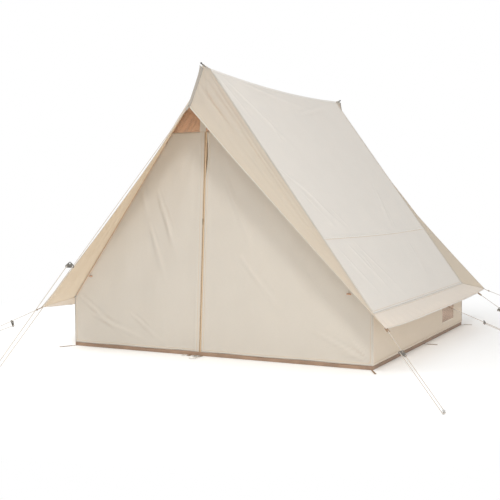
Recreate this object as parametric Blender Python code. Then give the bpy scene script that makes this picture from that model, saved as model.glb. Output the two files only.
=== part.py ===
"""A cotton A-frame tent with a hood at each end, made piece by piece as it is sewn and pitched.

The origin is on the ground under the middle of the floor. +Z is up, the door end faces -Y, and +X is
on the right of someone who looks at the door. Sizes are in metres.
"""

import math
from collections import namedtuple

import bmesh
import bpy
from mathutils import Matrix, Vector

# Sizes of the pitched tent, along its seams
FLOOR_WIDTH = 2.35
FLOOR_LENGTH = 2.35
PEAK_HEIGHT = 1.986
WALL_HEIGHT = 0.361
RIDGE_SAG = 0.033
EAVE_OVERHANG = 0.152
EAVE_HEIGHT = 0.301
VALANCE_SAG = 0.022
HOOD_PEAK_REACH = 0.070
HOOD_PEAK_RISE = 0.004
HOOD_TIP_REACH = 0.295
HOOD_TIP_HEIGHT = 1.703
HOOD_CORNER_REACH = 0.205
HOOD_EDGE_SAG = 0.015
HOOD_FOLD_DEPTH = 0.006
HOOD_FOLDS = 1.5
HOOD_COLUMNS = 6
HOOD_TIP_ROW = 0.25  # the share of the hood's rows that end on its middle seam
HOOD_TIP_SEAM = 0.115  # the share of the roof seam that lies above the hood's tip

# Cloth
CANVAS = 0.0016
MESH_CLOTH = 0.0010
GROUND_CLOTH = 0.0016
SEAM_GAP = 0.0009
GAP = 0.0004
SKIRT_HEIGHT = 0.027

# End walls and door
DOOR_TOP = 1.560
GABLE_DROP = 0.056  # the net stops this far below the peak
ZIP_FOOT_X = -0.098
ZIP_LEAN = 0.038  # how far the zip moves over for each metre that it climbs
TAPE_WIDTH = 0.012
TEETH_GAP = 0.0036
DOOR_HEAD_WIDTH = 0.050
DOOR_FOOT_MARGIN = 0.012
DOOR_FOLD_DEPTH = 0.004
DOOR_FOLDS = 2
ZIP_COVER_WIDTH = 0.040
ZIP_COVER_CLOTH = 0.0012
SLIDER_HEIGHT = 0.022
SLIDER_WIDTH = 0.011
SLIDER_PLATE = 0.0018
SLIDER_PLACE = 0.950
PULL_LENGTH = 0.034
PULL_WIDTH = 0.008
PULL_THICKNESS = 0.0016

# Vents in the side walls
VENT_FROM_REAR = 0.470  # from the rear end of the floor to the middle of the vent
VENT_LENGTH = 0.380
VENT_BOTTOM = 0.090
VENT_TOP = 0.270

# Pole frames
TUBE_RADIUS = 0.0125
TUBE_WALL = 0.0017
SPIGOT_RADIUS = 0.0105
SPIGOT_LENGTH = 0.060
SPIGOT_CLEARANCE = 0.0003
FOOT_PLUG = 0.020
FRAME_INSET = 0.030
LEG_FOOT_X = 1.100
LEG_TOP_X = 0.028
LEG_TOP_DROP = 0.070
SOCKET_DEPTH = 0.050
SOCKET_WALL = 0.0055
HUB_DEPTH = 0.034
PIN_RADIUS = 0.004
PIN_SLOPE = 0.3735
PIN_REACH = 0.048
KNOB_RADIUS = 0.0065

# Webbing, tabs and rings
STRIP_WIDTH = 0.024
WEBBING = 0.0018
STRIP_START = 0.20  # where the webbing starts, as a share of the middle seam of the hood
TAB_WIDTH = 0.022
TAB_LENGTH = 0.046
TAB_MARGIN = 0.009
TAB_HOLE_RADIUS = 0.0035

# Guying points on the eaves: side, place along the hem as a share of half its length, then how far
# the peg is out from it and along the tent. The last length is for the tips of the hoods.
EAVE_GUYS = {
    "front_left": (-1, -1.0, 0.450, -0.600),
    "front_right": (1, -1.0, 0.560, -0.787),
    "middle_left": (-1, 0.083, 0.700, 0.0),
    "middle_right": (1, 0.083, 0.700, 0.0),
    "side_rear_left": (-1, 0.815, 0.623, -0.575),
    "side_rear_right": (1, 0.815, 0.623, -0.575),
    "rear_left": (-1, 1.0, 0.600, 0.420),
    "rear_right": (1, 1.0, 0.600, 0.420),
}
TIP_PEG_REACH = 2.175

# Tie-backs, sill and pegging straps
TOGGLES = {1: (0.075, 0.482), -1: (0.030, 0.529)}  # in from the roof's edge, and height
TOGGLE_LENGTH = 0.030
TOGGLE_RADIUS = 0.005
STRAP_THICKNESS = 0.003
STRAP_WIDTH = 0.012
SILL_STRAPS = (-0.225, -0.180, -0.135, -0.090)
SILL_STRAP_REACH = 0.045
SILL_BAR = (-0.078, 0.090)
SILL_BAR_LENGTH = 0.055
SILL_BAR_RADIUS = 0.004

# Guylines
CORD = 0.004
HOLE_RADIUS = 0.0050
PLATE_THICKNESS = 0.003
PLATE_TILT = math.radians(45)  # the pull tips the plate up its guyline
HOLE_SPACING = 0.040
LOOP_RADIUS = 0.009
LOOP_HEIGHT = 0.010
PEG_RADIUS = 0.0045
PEG_CAP_RADIUS = 0.0085
PEG_CAP_HEIGHT = 0.004
PEG_SHOULDER = 0.009

TUBE_SIDES = 10
SHELTER = (FLOOR_WIDTH / 2, FLOOR_LENGTH / 2)


def steps(first, last, count):
    """Values from first to last in count equal steps."""
    return [first + (last - first) * i / count for i in range(count + 1)]


def mix(a, b, share):
    """The point or number at that share of the way from a to b."""
    return a + (b - a) * share


def paint(name, colour, roughness, metallic=0.0):
    """The material of that name, made the first time it is asked for."""
    material = bpy.data.materials.get(name)
    if material is None:
        material = bpy.data.materials.new(name)
        material.use_nodes = True
        shader = material.node_tree.nodes["Principled BSDF"]
        shader.inputs["Base Color"].default_value = (*colour, 1.0)
        shader.inputs["Roughness"].default_value = roughness
        shader.inputs["Metallic"].default_value = metallic
    return material


def roof_canvas():
    return paint("roof_canvas", (0.74, 0.68, 0.60), 0.9)


def wall_canvas():
    return paint("wall_canvas", (0.70, 0.64, 0.55), 0.9)


def vent_net():
    return paint("vent_net", (0.16, 0.10, 0.07), 0.8)


def brown_webbing():
    return paint("brown_webbing", (0.30, 0.21, 0.14), 0.8)


def grey_webbing():
    return paint("grey_webbing", (0.42, 0.38, 0.33), 0.8)


def bare_aluminium():
    return paint("bare_aluminium", (0.72, 0.73, 0.74), 0.35, 1.0)


def dark_fitting():
    return paint("dark_fitting", (0.07, 0.065, 0.06), 0.5)


def bright_steel():
    return paint("bright_steel", (0.55, 0.54, 0.52), 0.3, 1.0)


def guy_cord():
    return paint("guy_cord", (0.60, 0.56, 0.50), 0.8)


def add_object(name, bm, material):
    """Puts a finished bmesh in the scene as an object of that name."""
    mesh = bpy.data.meshes.new(name)
    bm.to_mesh(mesh)
    bm.free()
    mesh.materials.append(material)
    thing = bpy.data.objects.new(name, mesh)
    bpy.context.scene.collection.objects.link(thing)
    return thing


def round_off(thing, angle=40):
    """Shades a round piece smooth, with its real edges kept sharp."""
    thing.data.shade_smooth()
    thing.data.set_sharp_from_angle(angle=math.radians(angle))


def hang_on(carrier, *things):
    """Parents things to carrier and leaves them where they are."""
    for thing in things:
        thing.parent = carrier
        thing.matrix_parent_inverse = carrier.matrix_basis.inverted()


def pivot(name, place, direction):
    """An empty on a joint's axis, with its Z along the axis."""
    empty = bpy.data.objects.new(name, None)
    empty.matrix_basis = pointing(place, direction)
    bpy.context.scene.collection.objects.link(empty)
    return empty


def pointing(place, direction):
    """The transform that puts the origin at place and turns Z along direction."""
    turn = Vector(direction).to_track_quat("Z", "Y").to_matrix().to_4x4()
    return Matrix.Translation(place) @ turn


def combine(target, tool, operation):
    """Cuts tool out of target, or joins it to target, and keeps tool out of the model."""
    tool.hide_render = True
    tool.display_type = "WIRE"
    boolean = target.modifiers.new(operation.title(), "BOOLEAN")
    boolean.operation = operation
    boolean.object = tool
    boolean.solver = "EXACT"
    boolean.use_self = operation == "UNION"


def drawn_in(surface, across, along, i, j):
    """The panel's grid point i, j, moved in by the seam gap from each edge that it is on."""
    point = surface(across[i], along[j])
    moved = point.copy()
    last_i, last_j = len(across) - 1, len(along) - 1
    inward = (
        (i == 0, i + 1, j),
        (i == last_i, i - 1, j),
        (j == 0, i, j + 1),
        (j == last_j, i, j - 1),
    )
    for on_edge, inner_i, inner_j in inward:
        if on_edge:
            step = surface(across[inner_i], along[inner_j]) - point
            moved += step.normalized() * SEAM_GAP
    return moved


def cloth(name, surface, across, along, outward, material, thickness=CANVAS, tabs=()):
    """A sewn panel: a grid laid on surface(a, b), which is its inner side, thickened towards outward.

    Each tab is a guying point and the along values of a stretch of the far edge. That stretch goes
    on beyond the hem for TAB_LENGTH, in the direction that the guyline pulls.
    """
    bm = bmesh.new()
    columns, rows = len(across) - 1, len(along) - 1
    bmesh.ops.create_grid(bm, x_segments=columns, y_segments=rows, size=0.5)
    spots = {}
    for vert in bm.verts:
        i = round((vert.co.x + 0.5) * columns)
        j = round((vert.co.y + 0.5) * rows)
        spots[i, j] = vert
        vert.co = drawn_in(surface, across, along, i, j)
    for spot, first, last in tabs:
        row = [j for j, value in enumerate(along) if first - 1e-6 < value < last + 1e-6]
        hem = [bm.edges.get((spots[columns, j], spots[columns, j + 1])) for j in row[:-1]]
        grown = bmesh.ops.extrude_edge_only(bm, edges=hem)["geom"]
        moved = [part for part in grown if isinstance(part, bmesh.types.BMVert)]
        frame = tab_frame(spot)
        moved.sort(key=lambda vert: (frame.inverted() @ vert.co).y)
        for vert, y in zip(moved, steps(-TAB_WIDTH / 2, TAB_WIDTH / 2, len(moved) - 1)):
            vert.co = frame @ Vector((TAB_LENGTH, y, 0))
    bmesh.ops.recalc_face_normals(bm, faces=bm.faces)
    if sum(face.normal.dot(Vector(outward)) for face in bm.faces) < 0:
        bmesh.ops.reverse_faces(bm, faces=bm.faces)
    panel = add_object(name, bm, material)
    solid = panel.modifiers.new("Thickness", "SOLIDIFY")
    solid.thickness = thickness
    solid.offset = 1.0
    return panel


def add_box(bm, low, high):
    """Adds a box between two corners."""
    low, high = Vector(low), Vector(high)
    size = high - low
    place = Matrix.Translation((low + high) / 2) @ Matrix.Diagonal((*size, 1.0))
    bmesh.ops.create_cube(bm, size=1.0, matrix=place)


def add_turned(bm, profile, place, sides=TUBE_SIDES):
    """Adds a body turned round Z from (radius, height) points, then puts it at place."""
    verts = [bm.verts.new((radius, 0.0, height)) for radius, height in profile]
    edges = [bm.edges.new(pair) for pair in zip(verts, verts[1:])]
    before = set(bm.verts) - set(verts)
    bmesh.ops.spin(
        bm, geom=verts + edges, cent=(0, 0, 0), axis=(0, 0, 1),
        angle=math.tau, steps=sides, use_merge=True,
    )
    turned = [vert for vert in bm.verts if vert not in before]
    bmesh.ops.remove_doubles(bm, verts=turned, dist=1e-6)
    turned = [vert for vert in bm.verts if vert not in before]
    faces = list({face for vert in turned for face in vert.link_faces})
    bmesh.ops.recalc_face_normals(bm, faces=faces)
    bmesh.ops.transform(bm, matrix=place, verts=turned)
    return turned


def add_prism(bm, outline, depth, place):
    """Adds a flat outline of (x, y) points, thickened by depth about its plane, put at place."""
    verts = [bm.verts.new((x, y, -depth / 2)) for x, y in outline]
    face = bm.faces.new(verts)
    grown = bmesh.ops.extrude_face_region(bm, geom=[face])["geom"]
    lifted = [part for part in grown if isinstance(part, bmesh.types.BMVert)]
    bmesh.ops.translate(bm, verts=lifted, vec=(0, 0, depth))
    everything = verts + lifted
    faces = list({face for vert in everything for face in vert.link_faces})
    bmesh.ops.recalc_face_normals(bm, faces=faces)
    bmesh.ops.transform(bm, matrix=place, verts=everything)


def ridge_height(y):
    """The ridge hangs a little between the two peaks."""
    return PEAK_HEIGHT - RIDGE_SAG * (1 - (2 * y / FLOOR_LENGTH) ** 2)


def roof_half_width(z):
    """Half the width inside the roof at height z, at the ends of the tent."""
    return min(SHELTER[0], SHELTER[0] * (PEAK_HEIGHT - z) / (PEAK_HEIGHT - WALL_HEIGHT))


def zip_x(z):
    return ZIP_FOOT_X + ZIP_LEAN * z


def peak(end):
    return Vector((0, end * SHELTER[1], PEAK_HEIGHT))


def hood_peak(end):
    return Vector((0, end * (SHELTER[1] + HOOD_PEAK_REACH), PEAK_HEIGHT + HOOD_PEAK_RISE))


def hood_tip(end):
    return Vector((0, end * (SHELTER[1] + HOOD_TIP_REACH), HOOD_TIP_HEIGHT))


def eave_seam_end(side, end):
    return Vector((side * SHELTER[0], end * SHELTER[1], WALL_HEIGHT))


def eave_corner(side, end):
    x = SHELTER[0] + EAVE_OVERHANG
    y = SHELTER[1] + HOOD_CORNER_REACH
    return Vector((side * x, end * y, EAVE_HEIGHT))


def hood_outward(side, end):
    """The direction that half a hood faces."""
    down = eave_seam_end(side, end) - peak(end)
    facing = down.cross(hood_tip(end) - peak(end)).normalized()
    return facing if facing.z > 0 else -facing


def hood_surface(side, end):
    """Half a hood: b runs from the roof seam to the free edge, and a from the peak down to the eave."""
    outward = hood_outward(side, end)

    def at(b, a):
        if a < HOOD_TIP_ROW:
            share = a / HOOD_TIP_ROW
            seam = HOOD_TIP_SEAM * share
            free = mix(hood_peak(end), hood_tip(end), share)
        else:
            share = (a - HOOD_TIP_ROW) / (1 - HOOD_TIP_ROW)
            seam = mix(HOOD_TIP_SEAM, 1, share)
            free = mix(hood_tip(end), eave_corner(side, end), share)
            free.z -= HOOD_EDGE_SAG * 4 * share * (1 - share)
        start = mix(peak(end), eave_seam_end(side, end), seam)
        fold = math.sin(math.tau * HOOD_FOLDS * b) * math.sin(math.pi * a)
        return mix(start, free, b) + outward * HOOD_FOLD_DEPTH * fold

    return at


def make_roof():
    for side, name in ((-1, "roof_left"), (1, "roof_right")):
        def surface(s, y, side=side):
            ridge = Vector((0, y, ridge_height(y)))
            eave = Vector((side * SHELTER[0], y, WALL_HEIGHT))
            return mix(ridge, eave, s)

        along = steps(-SHELTER[1], SHELTER[1], 12)
        cloth(name, surface, steps(0, 1, 5), along, (side, 0, 1), roof_canvas())


def make_hoods():
    """Each hood half has a hole in its peak for the pin of the pole frame."""
    across = steps(0, 1, HOOD_COLUMNS)
    along = steps(0, HOOD_TIP_ROW, 3) + steps(HOOD_TIP_ROW, 1, 9)[1:]
    for end, place in ((-1, "front"), (1, "rear")):
        for side, half in ((-1, "left"), (1, "right")):
            panel = cloth(
                f"{place}_hood_{half}", hood_surface(side, end), across, along,
                hood_outward(side, end), roof_canvas(),
            )
            combine(panel, pin_hole(f"{place}_{half}_pin_hole", end), "DIFFERENCE")


def make_valances():
    """The strip of roof below each eave, with a tab for a guyline at four places on its hem."""
    for side, name in ((-1, "valance_left"), (1, "valance_right")):
        spots = [spot for spot in guy_spots() if spot.side == side]
        tabs = [(spot, *tab_span(spot.share)) for spot in spots]
        along = sorted(steps(-1, 1, 12)[1:-1] + [value for tab in tabs for value in tab[1:]])
        panel = cloth(
            name, valance_surface(side), steps(0, 1, 2), along, (side, 0, 1), roof_canvas(),
            tabs=tabs,
        )
        combine(panel, tab_holes(f"{name}_tab_holes", spots), "DIFFERENCE")


def tab_span(share):
    """The ends of a tab, as shares of half the hem; one at a corner ends at the corner."""
    half = TAB_WIDTH / 2 / (SHELTER[1] + HOOD_CORNER_REACH)
    middle = min(max(share, half - 1), 1 - half)
    return middle - half, middle + half


def valance_surface(side):
    def at(b, a):
        seam = Vector((side * SHELTER[0], a * SHELTER[1], WALL_HEIGHT))
        free = eave_corner(side, 1)
        free.y *= a
        free.z -= VALANCE_SAG * (1 - a ** 4)
        return mix(seam, free, b)

    return at


def make_side_walls():
    """Each side wall has a low vent near its rear end, filled with net."""
    for side, name in ((-1, "left"), (1, "right")):
        inner = side * (SHELTER[0] - CANVAS)

        def surface(y, z, inner=inner):
            return Vector((inner, y, z))

        along = steps(-SHELTER[1], SHELTER[1], 4)
        wall = cloth(
            f"side_wall_{name}", surface, along, steps(SKIRT_HEIGHT, WALL_HEIGHT, 2),
            (side, 0, 0), wall_canvas(),
        )
        vent = SHELTER[1] - VENT_FROM_REAR
        low = Vector((side * SHELTER[0] - CANVAS * 3, vent - VENT_LENGTH / 2, VENT_BOTTOM))
        high = Vector((side * SHELTER[0] + CANVAS * 3, vent + VENT_LENGTH / 2, VENT_TOP))
        bm = bmesh.new()
        add_box(bm, low, high)
        combine(wall, add_object(f"vent_hole_{name}", bm, wall_canvas()), "DIFFERENCE")
        middle = side * (SHELTER[0] - CANVAS / 2)
        bm = bmesh.new()
        add_box(
            bm,
            (middle - MESH_CLOTH / 2, low.y + GAP, low.z + GAP),
            (middle + MESH_CLOTH / 2, high.y - GAP, high.z - GAP),
        )
        add_object(f"side_vent_net_{name}", bm, vent_net())


def wall_rows():
    """Heights of the rows of an end wall, one of them where the roof starts."""
    return steps(SKIRT_HEIGHT, WALL_HEIGHT, 2) + steps(WALL_HEIGHT, DOOR_TOP, 6)[1:]


def end_edge(z):
    """Half the width of an end wall at height z, inside the side walls and under the roof."""
    return min(SHELTER[0] - CANVAS, roof_half_width(z) - SEAM_GAP)


def end_wall_surface(end, left, right):
    """A panel in the plane of an end wall, between two edges that are given as x at height z."""
    def at(share, z):
        return Vector((mix(left(z), right(z), share), end * (SHELTER[1] - CANVAS), z))

    return at


def make_rear_wall():
    surface = end_wall_surface(1, lambda z: -end_edge(z), end_edge)
    cloth("rear_wall", surface, steps(0, 1, 4), wall_rows(), (0, 1, 0), wall_canvas())


def make_gable_nets():
    """Net fills both end walls above the height of the door."""
    for end, name in ((-1, "front_gable_net"), (1, "rear_gable_net")):
        surface = end_wall_surface(end, lambda z: -end_edge(z), end_edge)
        cloth(
            name, surface, steps(0, 1, 2), steps(DOOR_TOP, PEAK_HEIGHT - GABLE_DROP, 2),
            (0, end, 0), vent_net(), thickness=MESH_CLOTH,
        )


def hinge_x(side, z):
    """A door flap folds about the straight line from the head of the zip to the foot of the wall."""
    foot = side * (SHELTER[0] - CANVAS - DOOR_FOOT_MARGIN)
    head = zip_x(DOOR_TOP) + side * DOOR_HEAD_WIDTH
    return mix(foot, head, (z - SKIRT_HEIGHT) / (DOOR_TOP - SKIRT_HEIGHT))


def door_hinge(side):
    """An empty at the foot of a flap's fold line, on the outer face of the wall."""
    foot = Vector((hinge_x(side, SKIRT_HEIGHT), -SHELTER[1], SKIRT_HEIGHT))
    head = Vector((hinge_x(side, DOOR_TOP), -SHELTER[1], DOOR_TOP))
    name = "door_hinge_right" if side > 0 else "door_hinge_left"
    return pivot(name, foot, (head - foot).normalized())


def make_front_wall():
    """The front wall: two fixed strips under the roof, and two door flaps that meet at the zip."""
    for side, name in ((-1, "left"), (1, "right")):
        fixed = end_wall_surface(
            -1, lambda z, side=side: hinge_x(side, z), lambda z, side=side: side * end_edge(z)
        )
        cloth(
            f"front_wall_{name}", fixed, steps(0, 1, 2), wall_rows(), (0, -1, 0), wall_canvas()
        )
        flat = end_wall_surface(
            -1,
            lambda z, side=side: zip_x(z) + side * TAPE_WIDTH,
            lambda z, side=side: hinge_x(side, z),
        )

        def folded(b, z, flat=flat, side=side):
            """The flap hangs in shallow folds that die out at its head, its fold line and its zip."""
            climb = (z - SKIRT_HEIGHT) / (DOOR_TOP - SKIRT_HEIGHT)
            point = flat(b, z)
            width = abs(hinge_x(side, z) - zip_x(z)) - ZIP_COVER_WIDTH
            phase = max(0, abs(point.x - zip_x(z)) - ZIP_COVER_WIDTH) / max(width, TAPE_WIDTH)
            point.y += DOOR_FOLD_DEPTH * math.sin(math.tau * DOOR_FOLDS * phase) * (1 - climb)
            return point

        flap = cloth(
            f"door_{name}", folded, steps(0, 1, 8), steps(SKIRT_HEIGHT, DOOR_TOP, 6),
            (0, -1, 0), wall_canvas(),
        )
        hinge = door_hinge(side)
        hang_on(hinge, flap, zip_tape(side, f"zip_tape_{name}"))
        if side < 0:
            cover = zip_cover()
            combine(flap, cover, "UNION")
            hang_on(hinge, cover)
            make_zip_slider(hinge)


def zip_tape(side, name):
    """Half the zip, between the flap's edge and the gap where the teeth meet."""
    surface = end_wall_surface(
        -1,
        lambda z: zip_x(z) + side * TEETH_GAP / 2,
        lambda z: zip_x(z) + side * TAPE_WIDTH,
    )
    rows = steps(SKIRT_HEIGHT, DOOR_TOP, 1)
    return cloth(name, surface, steps(0, 1, 1), rows, (0, -1, 0), dark_fitting())


def zip_cover():
    """A strip of canvas beside the teeth, sewn to the left flap along its edge away from the zip."""
    near, far = -SLIDER_WIDTH / 2 - GAP, -ZIP_COVER_WIDTH
    back = -SHELTER[1] - GAP
    outline = [
        (far, back - ZIP_COVER_CLOTH), (near, back - ZIP_COVER_CLOTH), (near, back),
        (far + CANVAS * 3, back), (far + CANVAS * 3, back + CANVAS), (far, back + CANVAS),
    ]
    low, high = SKIRT_HEIGHT + SEAM_GAP, DOOR_TOP - SEAM_GAP
    bm = bmesh.new()
    middle = Vector((zip_x((low + high) / 2), 0, (low + high) / 2))
    shear = Matrix.Shear("XY", 4, (ZIP_LEAN, 0))
    add_prism(bm, outline, high - low, Matrix.Translation(middle) @ shear)
    return add_object("zip_cover", bm, wall_canvas())


def zip_direction():
    return Vector((ZIP_LEAN, 0, 1)).normalized()


def slider_front():
    """Y of the front of the zip slider."""
    return -SHELTER[1] - GAP - SLIDER_PLATE


def make_zip_slider(door):
    """The slider is an H in plan: a plate before the teeth and one behind, joined between the tapes."""
    half = SLIDER_WIDTH / 2
    post = TEETH_GAP / 2 - GAP
    front = slider_front()
    inner = -SHELTER[1] - GAP
    behind = -SHELTER[1] + CANVAS + GAP
    back = behind + SLIDER_PLATE
    outline = [
        (-half, front), (half, front), (half, inner), (post, inner), (post, behind),
        (half, behind), (half, back), (-half, back), (-half, behind), (-post, behind),
        (-post, inner), (-half, inner),
    ]
    place = Vector((zip_x(SLIDER_PLACE), 0, SLIDER_PLACE))
    bm = bmesh.new()
    add_prism(bm, outline, SLIDER_HEIGHT, Matrix.Translation(place) @ lean())
    slider = add_object("zip_slider", bm, dark_fitting())
    track = pivot("zip_track", place, zip_direction())
    hang_on(door, track)
    hang_on(track, slider)
    swing = pivot("zip_pull_pivot", pull_pivot(), (-1, 0, 0))
    hang_on(track, swing)
    bm = bmesh.new()
    outline = [(-PULL_WIDTH / 2, 0), (PULL_WIDTH / 2, 0), (PULL_WIDTH / 2, -PULL_LENGTH),
               (-PULL_WIDTH / 2, -PULL_LENGTH)]
    upright = Matrix.Rotation(math.pi / 2, 4, "X")
    add_prism(bm, outline, PULL_THICKNESS, Matrix.Translation(pull_pivot()) @ upright)
    hang_on(swing, add_object("zip_pull", bm, dark_fitting()))


def lean():
    """The turn that tilts a level outline so that it stands square to the zip."""
    return Matrix.Rotation(math.atan(ZIP_LEAN), 4, "Y")


def pull_pivot():
    """The zip pull hangs in front of the slider and swings about its own upper edge."""
    y = slider_front() - GAP - PULL_THICKNESS / 2
    return Vector((zip_x(SLIDER_PLACE), y, SLIDER_PLACE))


def make_floor():
    """A groundsheet whose edge turns up to meet the walls, with straps for pegs sewn round it."""
    x, y = SHELTER
    bm = bmesh.new()
    add_box(bm, (-x, -y, 0), (x, y, SKIRT_HEIGHT))
    bm.faces.ensure_lookup_table()
    top = [face for face in bm.faces if face.normal.z > 0.5]
    bmesh.ops.inset_region(bm, faces=top, thickness=CANVAS)
    floor = bmesh.ops.extrude_face_region(bm, geom=top)["geom"]
    bmesh.ops.delete(bm, geom=top, context="FACES")
    sunk = [part for part in floor if isinstance(part, bmesh.types.BMVert)]
    bmesh.ops.translate(bm, verts=sunk, vec=(0, 0, GROUND_CLOTH - SKIRT_HEIGHT))
    bmesh.ops.recalc_face_normals(bm, faces=bm.faces)
    floor = add_object("groundsheet", bm, paint("groundsheet", (0.33, 0.28, 0.24), 0.6))
    combine(floor, ground_straps(), "UNION")


def ground_straps():
    """The straps at the foot of the walls, and the cords and bar that peg down the foot of the zip."""
    rise = STRAP_THICKNESS / 10
    seam = -SHELTER[1] + CANVAS / 2
    bm = bmesh.new()
    for place, reach in strap_places():
        along = reach.normalized()
        half = Vector((-along.y, along.x, 0)) * STRAP_WIDTH / 2
        corners = (place - half, place + reach - half, place + reach + half, place + half)
        level = Matrix.Translation((0, 0, rise + STRAP_THICKNESS / 2))
        add_prism(bm, [corner[:2] for corner in corners], STRAP_THICKNESS, level)
    for x in SILL_STRAPS:
        low = (x, seam - SILL_STRAP_REACH, rise)
        add_box(bm, low, (x + STRAP_WIDTH * 2, seam, rise + STRAP_THICKNESS))
    x, reach = SILL_BAR
    y = seam - SILL_STRAP_REACH - reach
    for shift in (-0.15, 0.15):
        middle = x + shift * SILL_BAR_LENGTH
        low = (middle - CORD / 2, y, rise * 2)
        high = (middle + CORD / 2, seam - SILL_STRAP_REACH + CORD, rise * 2 + CORD / 2)
        add_box(bm, low, high)
    low = (x - SILL_BAR_LENGTH / 2, y - SILL_BAR_RADIUS, rise)
    add_box(bm, low, (x + SILL_BAR_LENGTH / 2, y + SILL_BAR_RADIUS, rise + SILL_BAR_RADIUS * 2))
    return add_object("ground_straps", bm, brown_webbing())


def strap_places():
    """Where each wall strap leaves the groundsheet's edge, and how it reaches out."""
    x, y = SHELTER[0] - CANVAS / 2, SHELTER[1] - CANVAS / 2
    inset = STRAP_WIDTH / 2
    places = [(Vector((0, y, 0)), Vector((0, 0.106, 0)))]
    for side in (-1, 1):
        places.append((Vector((side * x, 0, 0)), Vector((side * 0.106, 0, 0))))
        places.append((Vector((side * (x - inset), -y, 0)), Vector((side * 0.065, -0.120, 0))))
        places.append((Vector((side * x, y - inset, 0)), Vector((side * 0.090, 0.030, 0))))
    return places


def leg_ends(side, end):
    """The axis of a leg, from the groundsheet up to where it meets its partner in the hub."""
    y = end * (SHELTER[1] - FRAME_INSET)
    foot = Vector((side * LEG_FOOT_X, y, GROUND_CLOTH))
    top = Vector((side * LEG_TOP_X, y, PEAK_HEIGHT - LEG_TOP_DROP))
    return foot, top


def leg_sections(side, end):
    """Where the three sections of a leg start, as heights along its axis, and their length."""
    foot, top = leg_ends(side, end)
    start = TUBE_RADIUS
    mouth = (top - foot).length - SOCKET_DEPTH
    length = (mouth - start - 3 * GAP) / 3
    return [start + i * (length + GAP) for i in range(3)], length


def section_profile(length, spigot):
    """A tube, open below, that narrows to a spigot on top, as (radius, height) round its wall."""
    bore = SPIGOT_RADIUS + SPIGOT_CLEARANCE
    throat, neck = SPIGOT_RADIUS - TUBE_WALL, length - 2 * TUBE_WALL
    return [
        (bore, 0), (TUBE_RADIUS, 0), (TUBE_RADIUS, length), (SPIGOT_RADIUS, length),
        (SPIGOT_RADIUS, length + spigot), (throat, length + spigot), (throat, neck), (bore, neck),
    ]


def foot_profile(length, spigot):
    """The lowest section is closed by a plug that reaches past the ground, to be cut level."""
    wall = section_profile(length, spigot)
    return [(0, -2 * TUBE_RADIUS), (TUBE_RADIUS, -2 * TUBE_RADIUS)] + wall[2:] + [
        (wall[0][0], FOOT_PLUG), (0, FOOT_PLUG)
    ]


def make_poles():
    """Two legs at each end of the tent, each in three sections that plug together."""
    for end, place in ((-1, "front"), (1, "rear")):
        for side, hand in ((-1, "left"), (1, "right")):
            foot, top = leg_ends(side, end)
            direction = (top - foot).normalized()
            starts, length = leg_sections(side, end)
            for number, part in enumerate(("lower", "middle", "upper")):
                spigot = SPIGOT_LENGTH if number < 2 else SOCKET_DEPTH - 2 * GAP
                bm = bmesh.new()
                place_on_leg = pointing(foot + direction * starts[number], direction)
                if number == 0:
                    add_turned(bm, foot_profile(length, spigot), place_on_leg)
                    cut_level(bm, GROUND_CLOTH + GAP)
                else:
                    profile = section_profile(length, spigot)
                    add_turned(bm, profile + profile[:1], place_on_leg)
                round_off(add_object(f"{place}_{hand}_pole_{part}", bm, bare_aluminium()))


def cut_level(bm, height):
    """Cuts off what is below height and closes the solids flat there."""
    geometry = bm.verts[:] + bm.edges[:] + bm.faces[:]
    cut = bmesh.ops.bisect_plane(
        bm, geom=geometry, plane_co=(0, 0, height), plane_no=(0, 0, 1), clear_inner=True
    )["geom_cut"]
    rims = [edge for edge in cut if isinstance(edge, bmesh.types.BMEdge)]
    bmesh.ops.edgeloop_fill(bm, edges=rims)
    bmesh.ops.recalc_face_normals(bm, faces=bm.faces)


def hub_outline(end):
    """The hub seen from the door: it fills the peak and has a mouth square to each leg."""
    foot, top = leg_ends(1, end)
    down = (foot - top).normalized()
    across = Vector((-down.z, 0, down.x))
    mouth = top + down * SOCKET_DEPTH
    half = SPIGOT_RADIUS + SOCKET_WALL
    outer, inner = mouth + across * half, mouth - across * half
    inner_y = SHELTER[1] - FRAME_INSET - HUB_DEPTH / 2
    crown = ridge_height(inner_y) - 2 * GAP
    shoulder_x = LEG_TOP_X
    slope = (crown - WALL_HEIGHT) / SHELTER[0]
    crotch = top.z - SPIGOT_RADIUS
    right = [(shoulder_x, crown - slope * shoulder_x), (outer.x, outer.z), (inner.x, inner.z)]
    left = [(-x, z) for x, z in reversed(right)]
    return [(0, crown)] + right + [(0, crotch)] + left


def pin_axis(end):
    """Where the pin leaves the middle of the hub, and its direction, out through the hood's peak."""
    direction = Vector((0, end, PIN_SLOPE)).normalized()
    hub_y = end * (SHELTER[1] - FRAME_INSET)
    through = hood_peak(end)
    start = through - direction * abs(through.y - hub_y) / abs(direction.y)
    return start, direction


def pin_hole(name, end):
    """The cutter for the hole that the pin goes through in the hood's peak."""
    radius = PIN_RADIUS + GAP
    through, direction = hood_peak(end), pin_axis(end)[1]
    bm = bmesh.new()
    reach = HOOD_PEAK_REACH
    profile = [(0, -reach), (radius, -reach), (radius, reach), (0, reach)]
    add_turned(bm, profile, pointing(through, direction), sides=8)
    return add_object(name, bm, dark_fitting())


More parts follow.
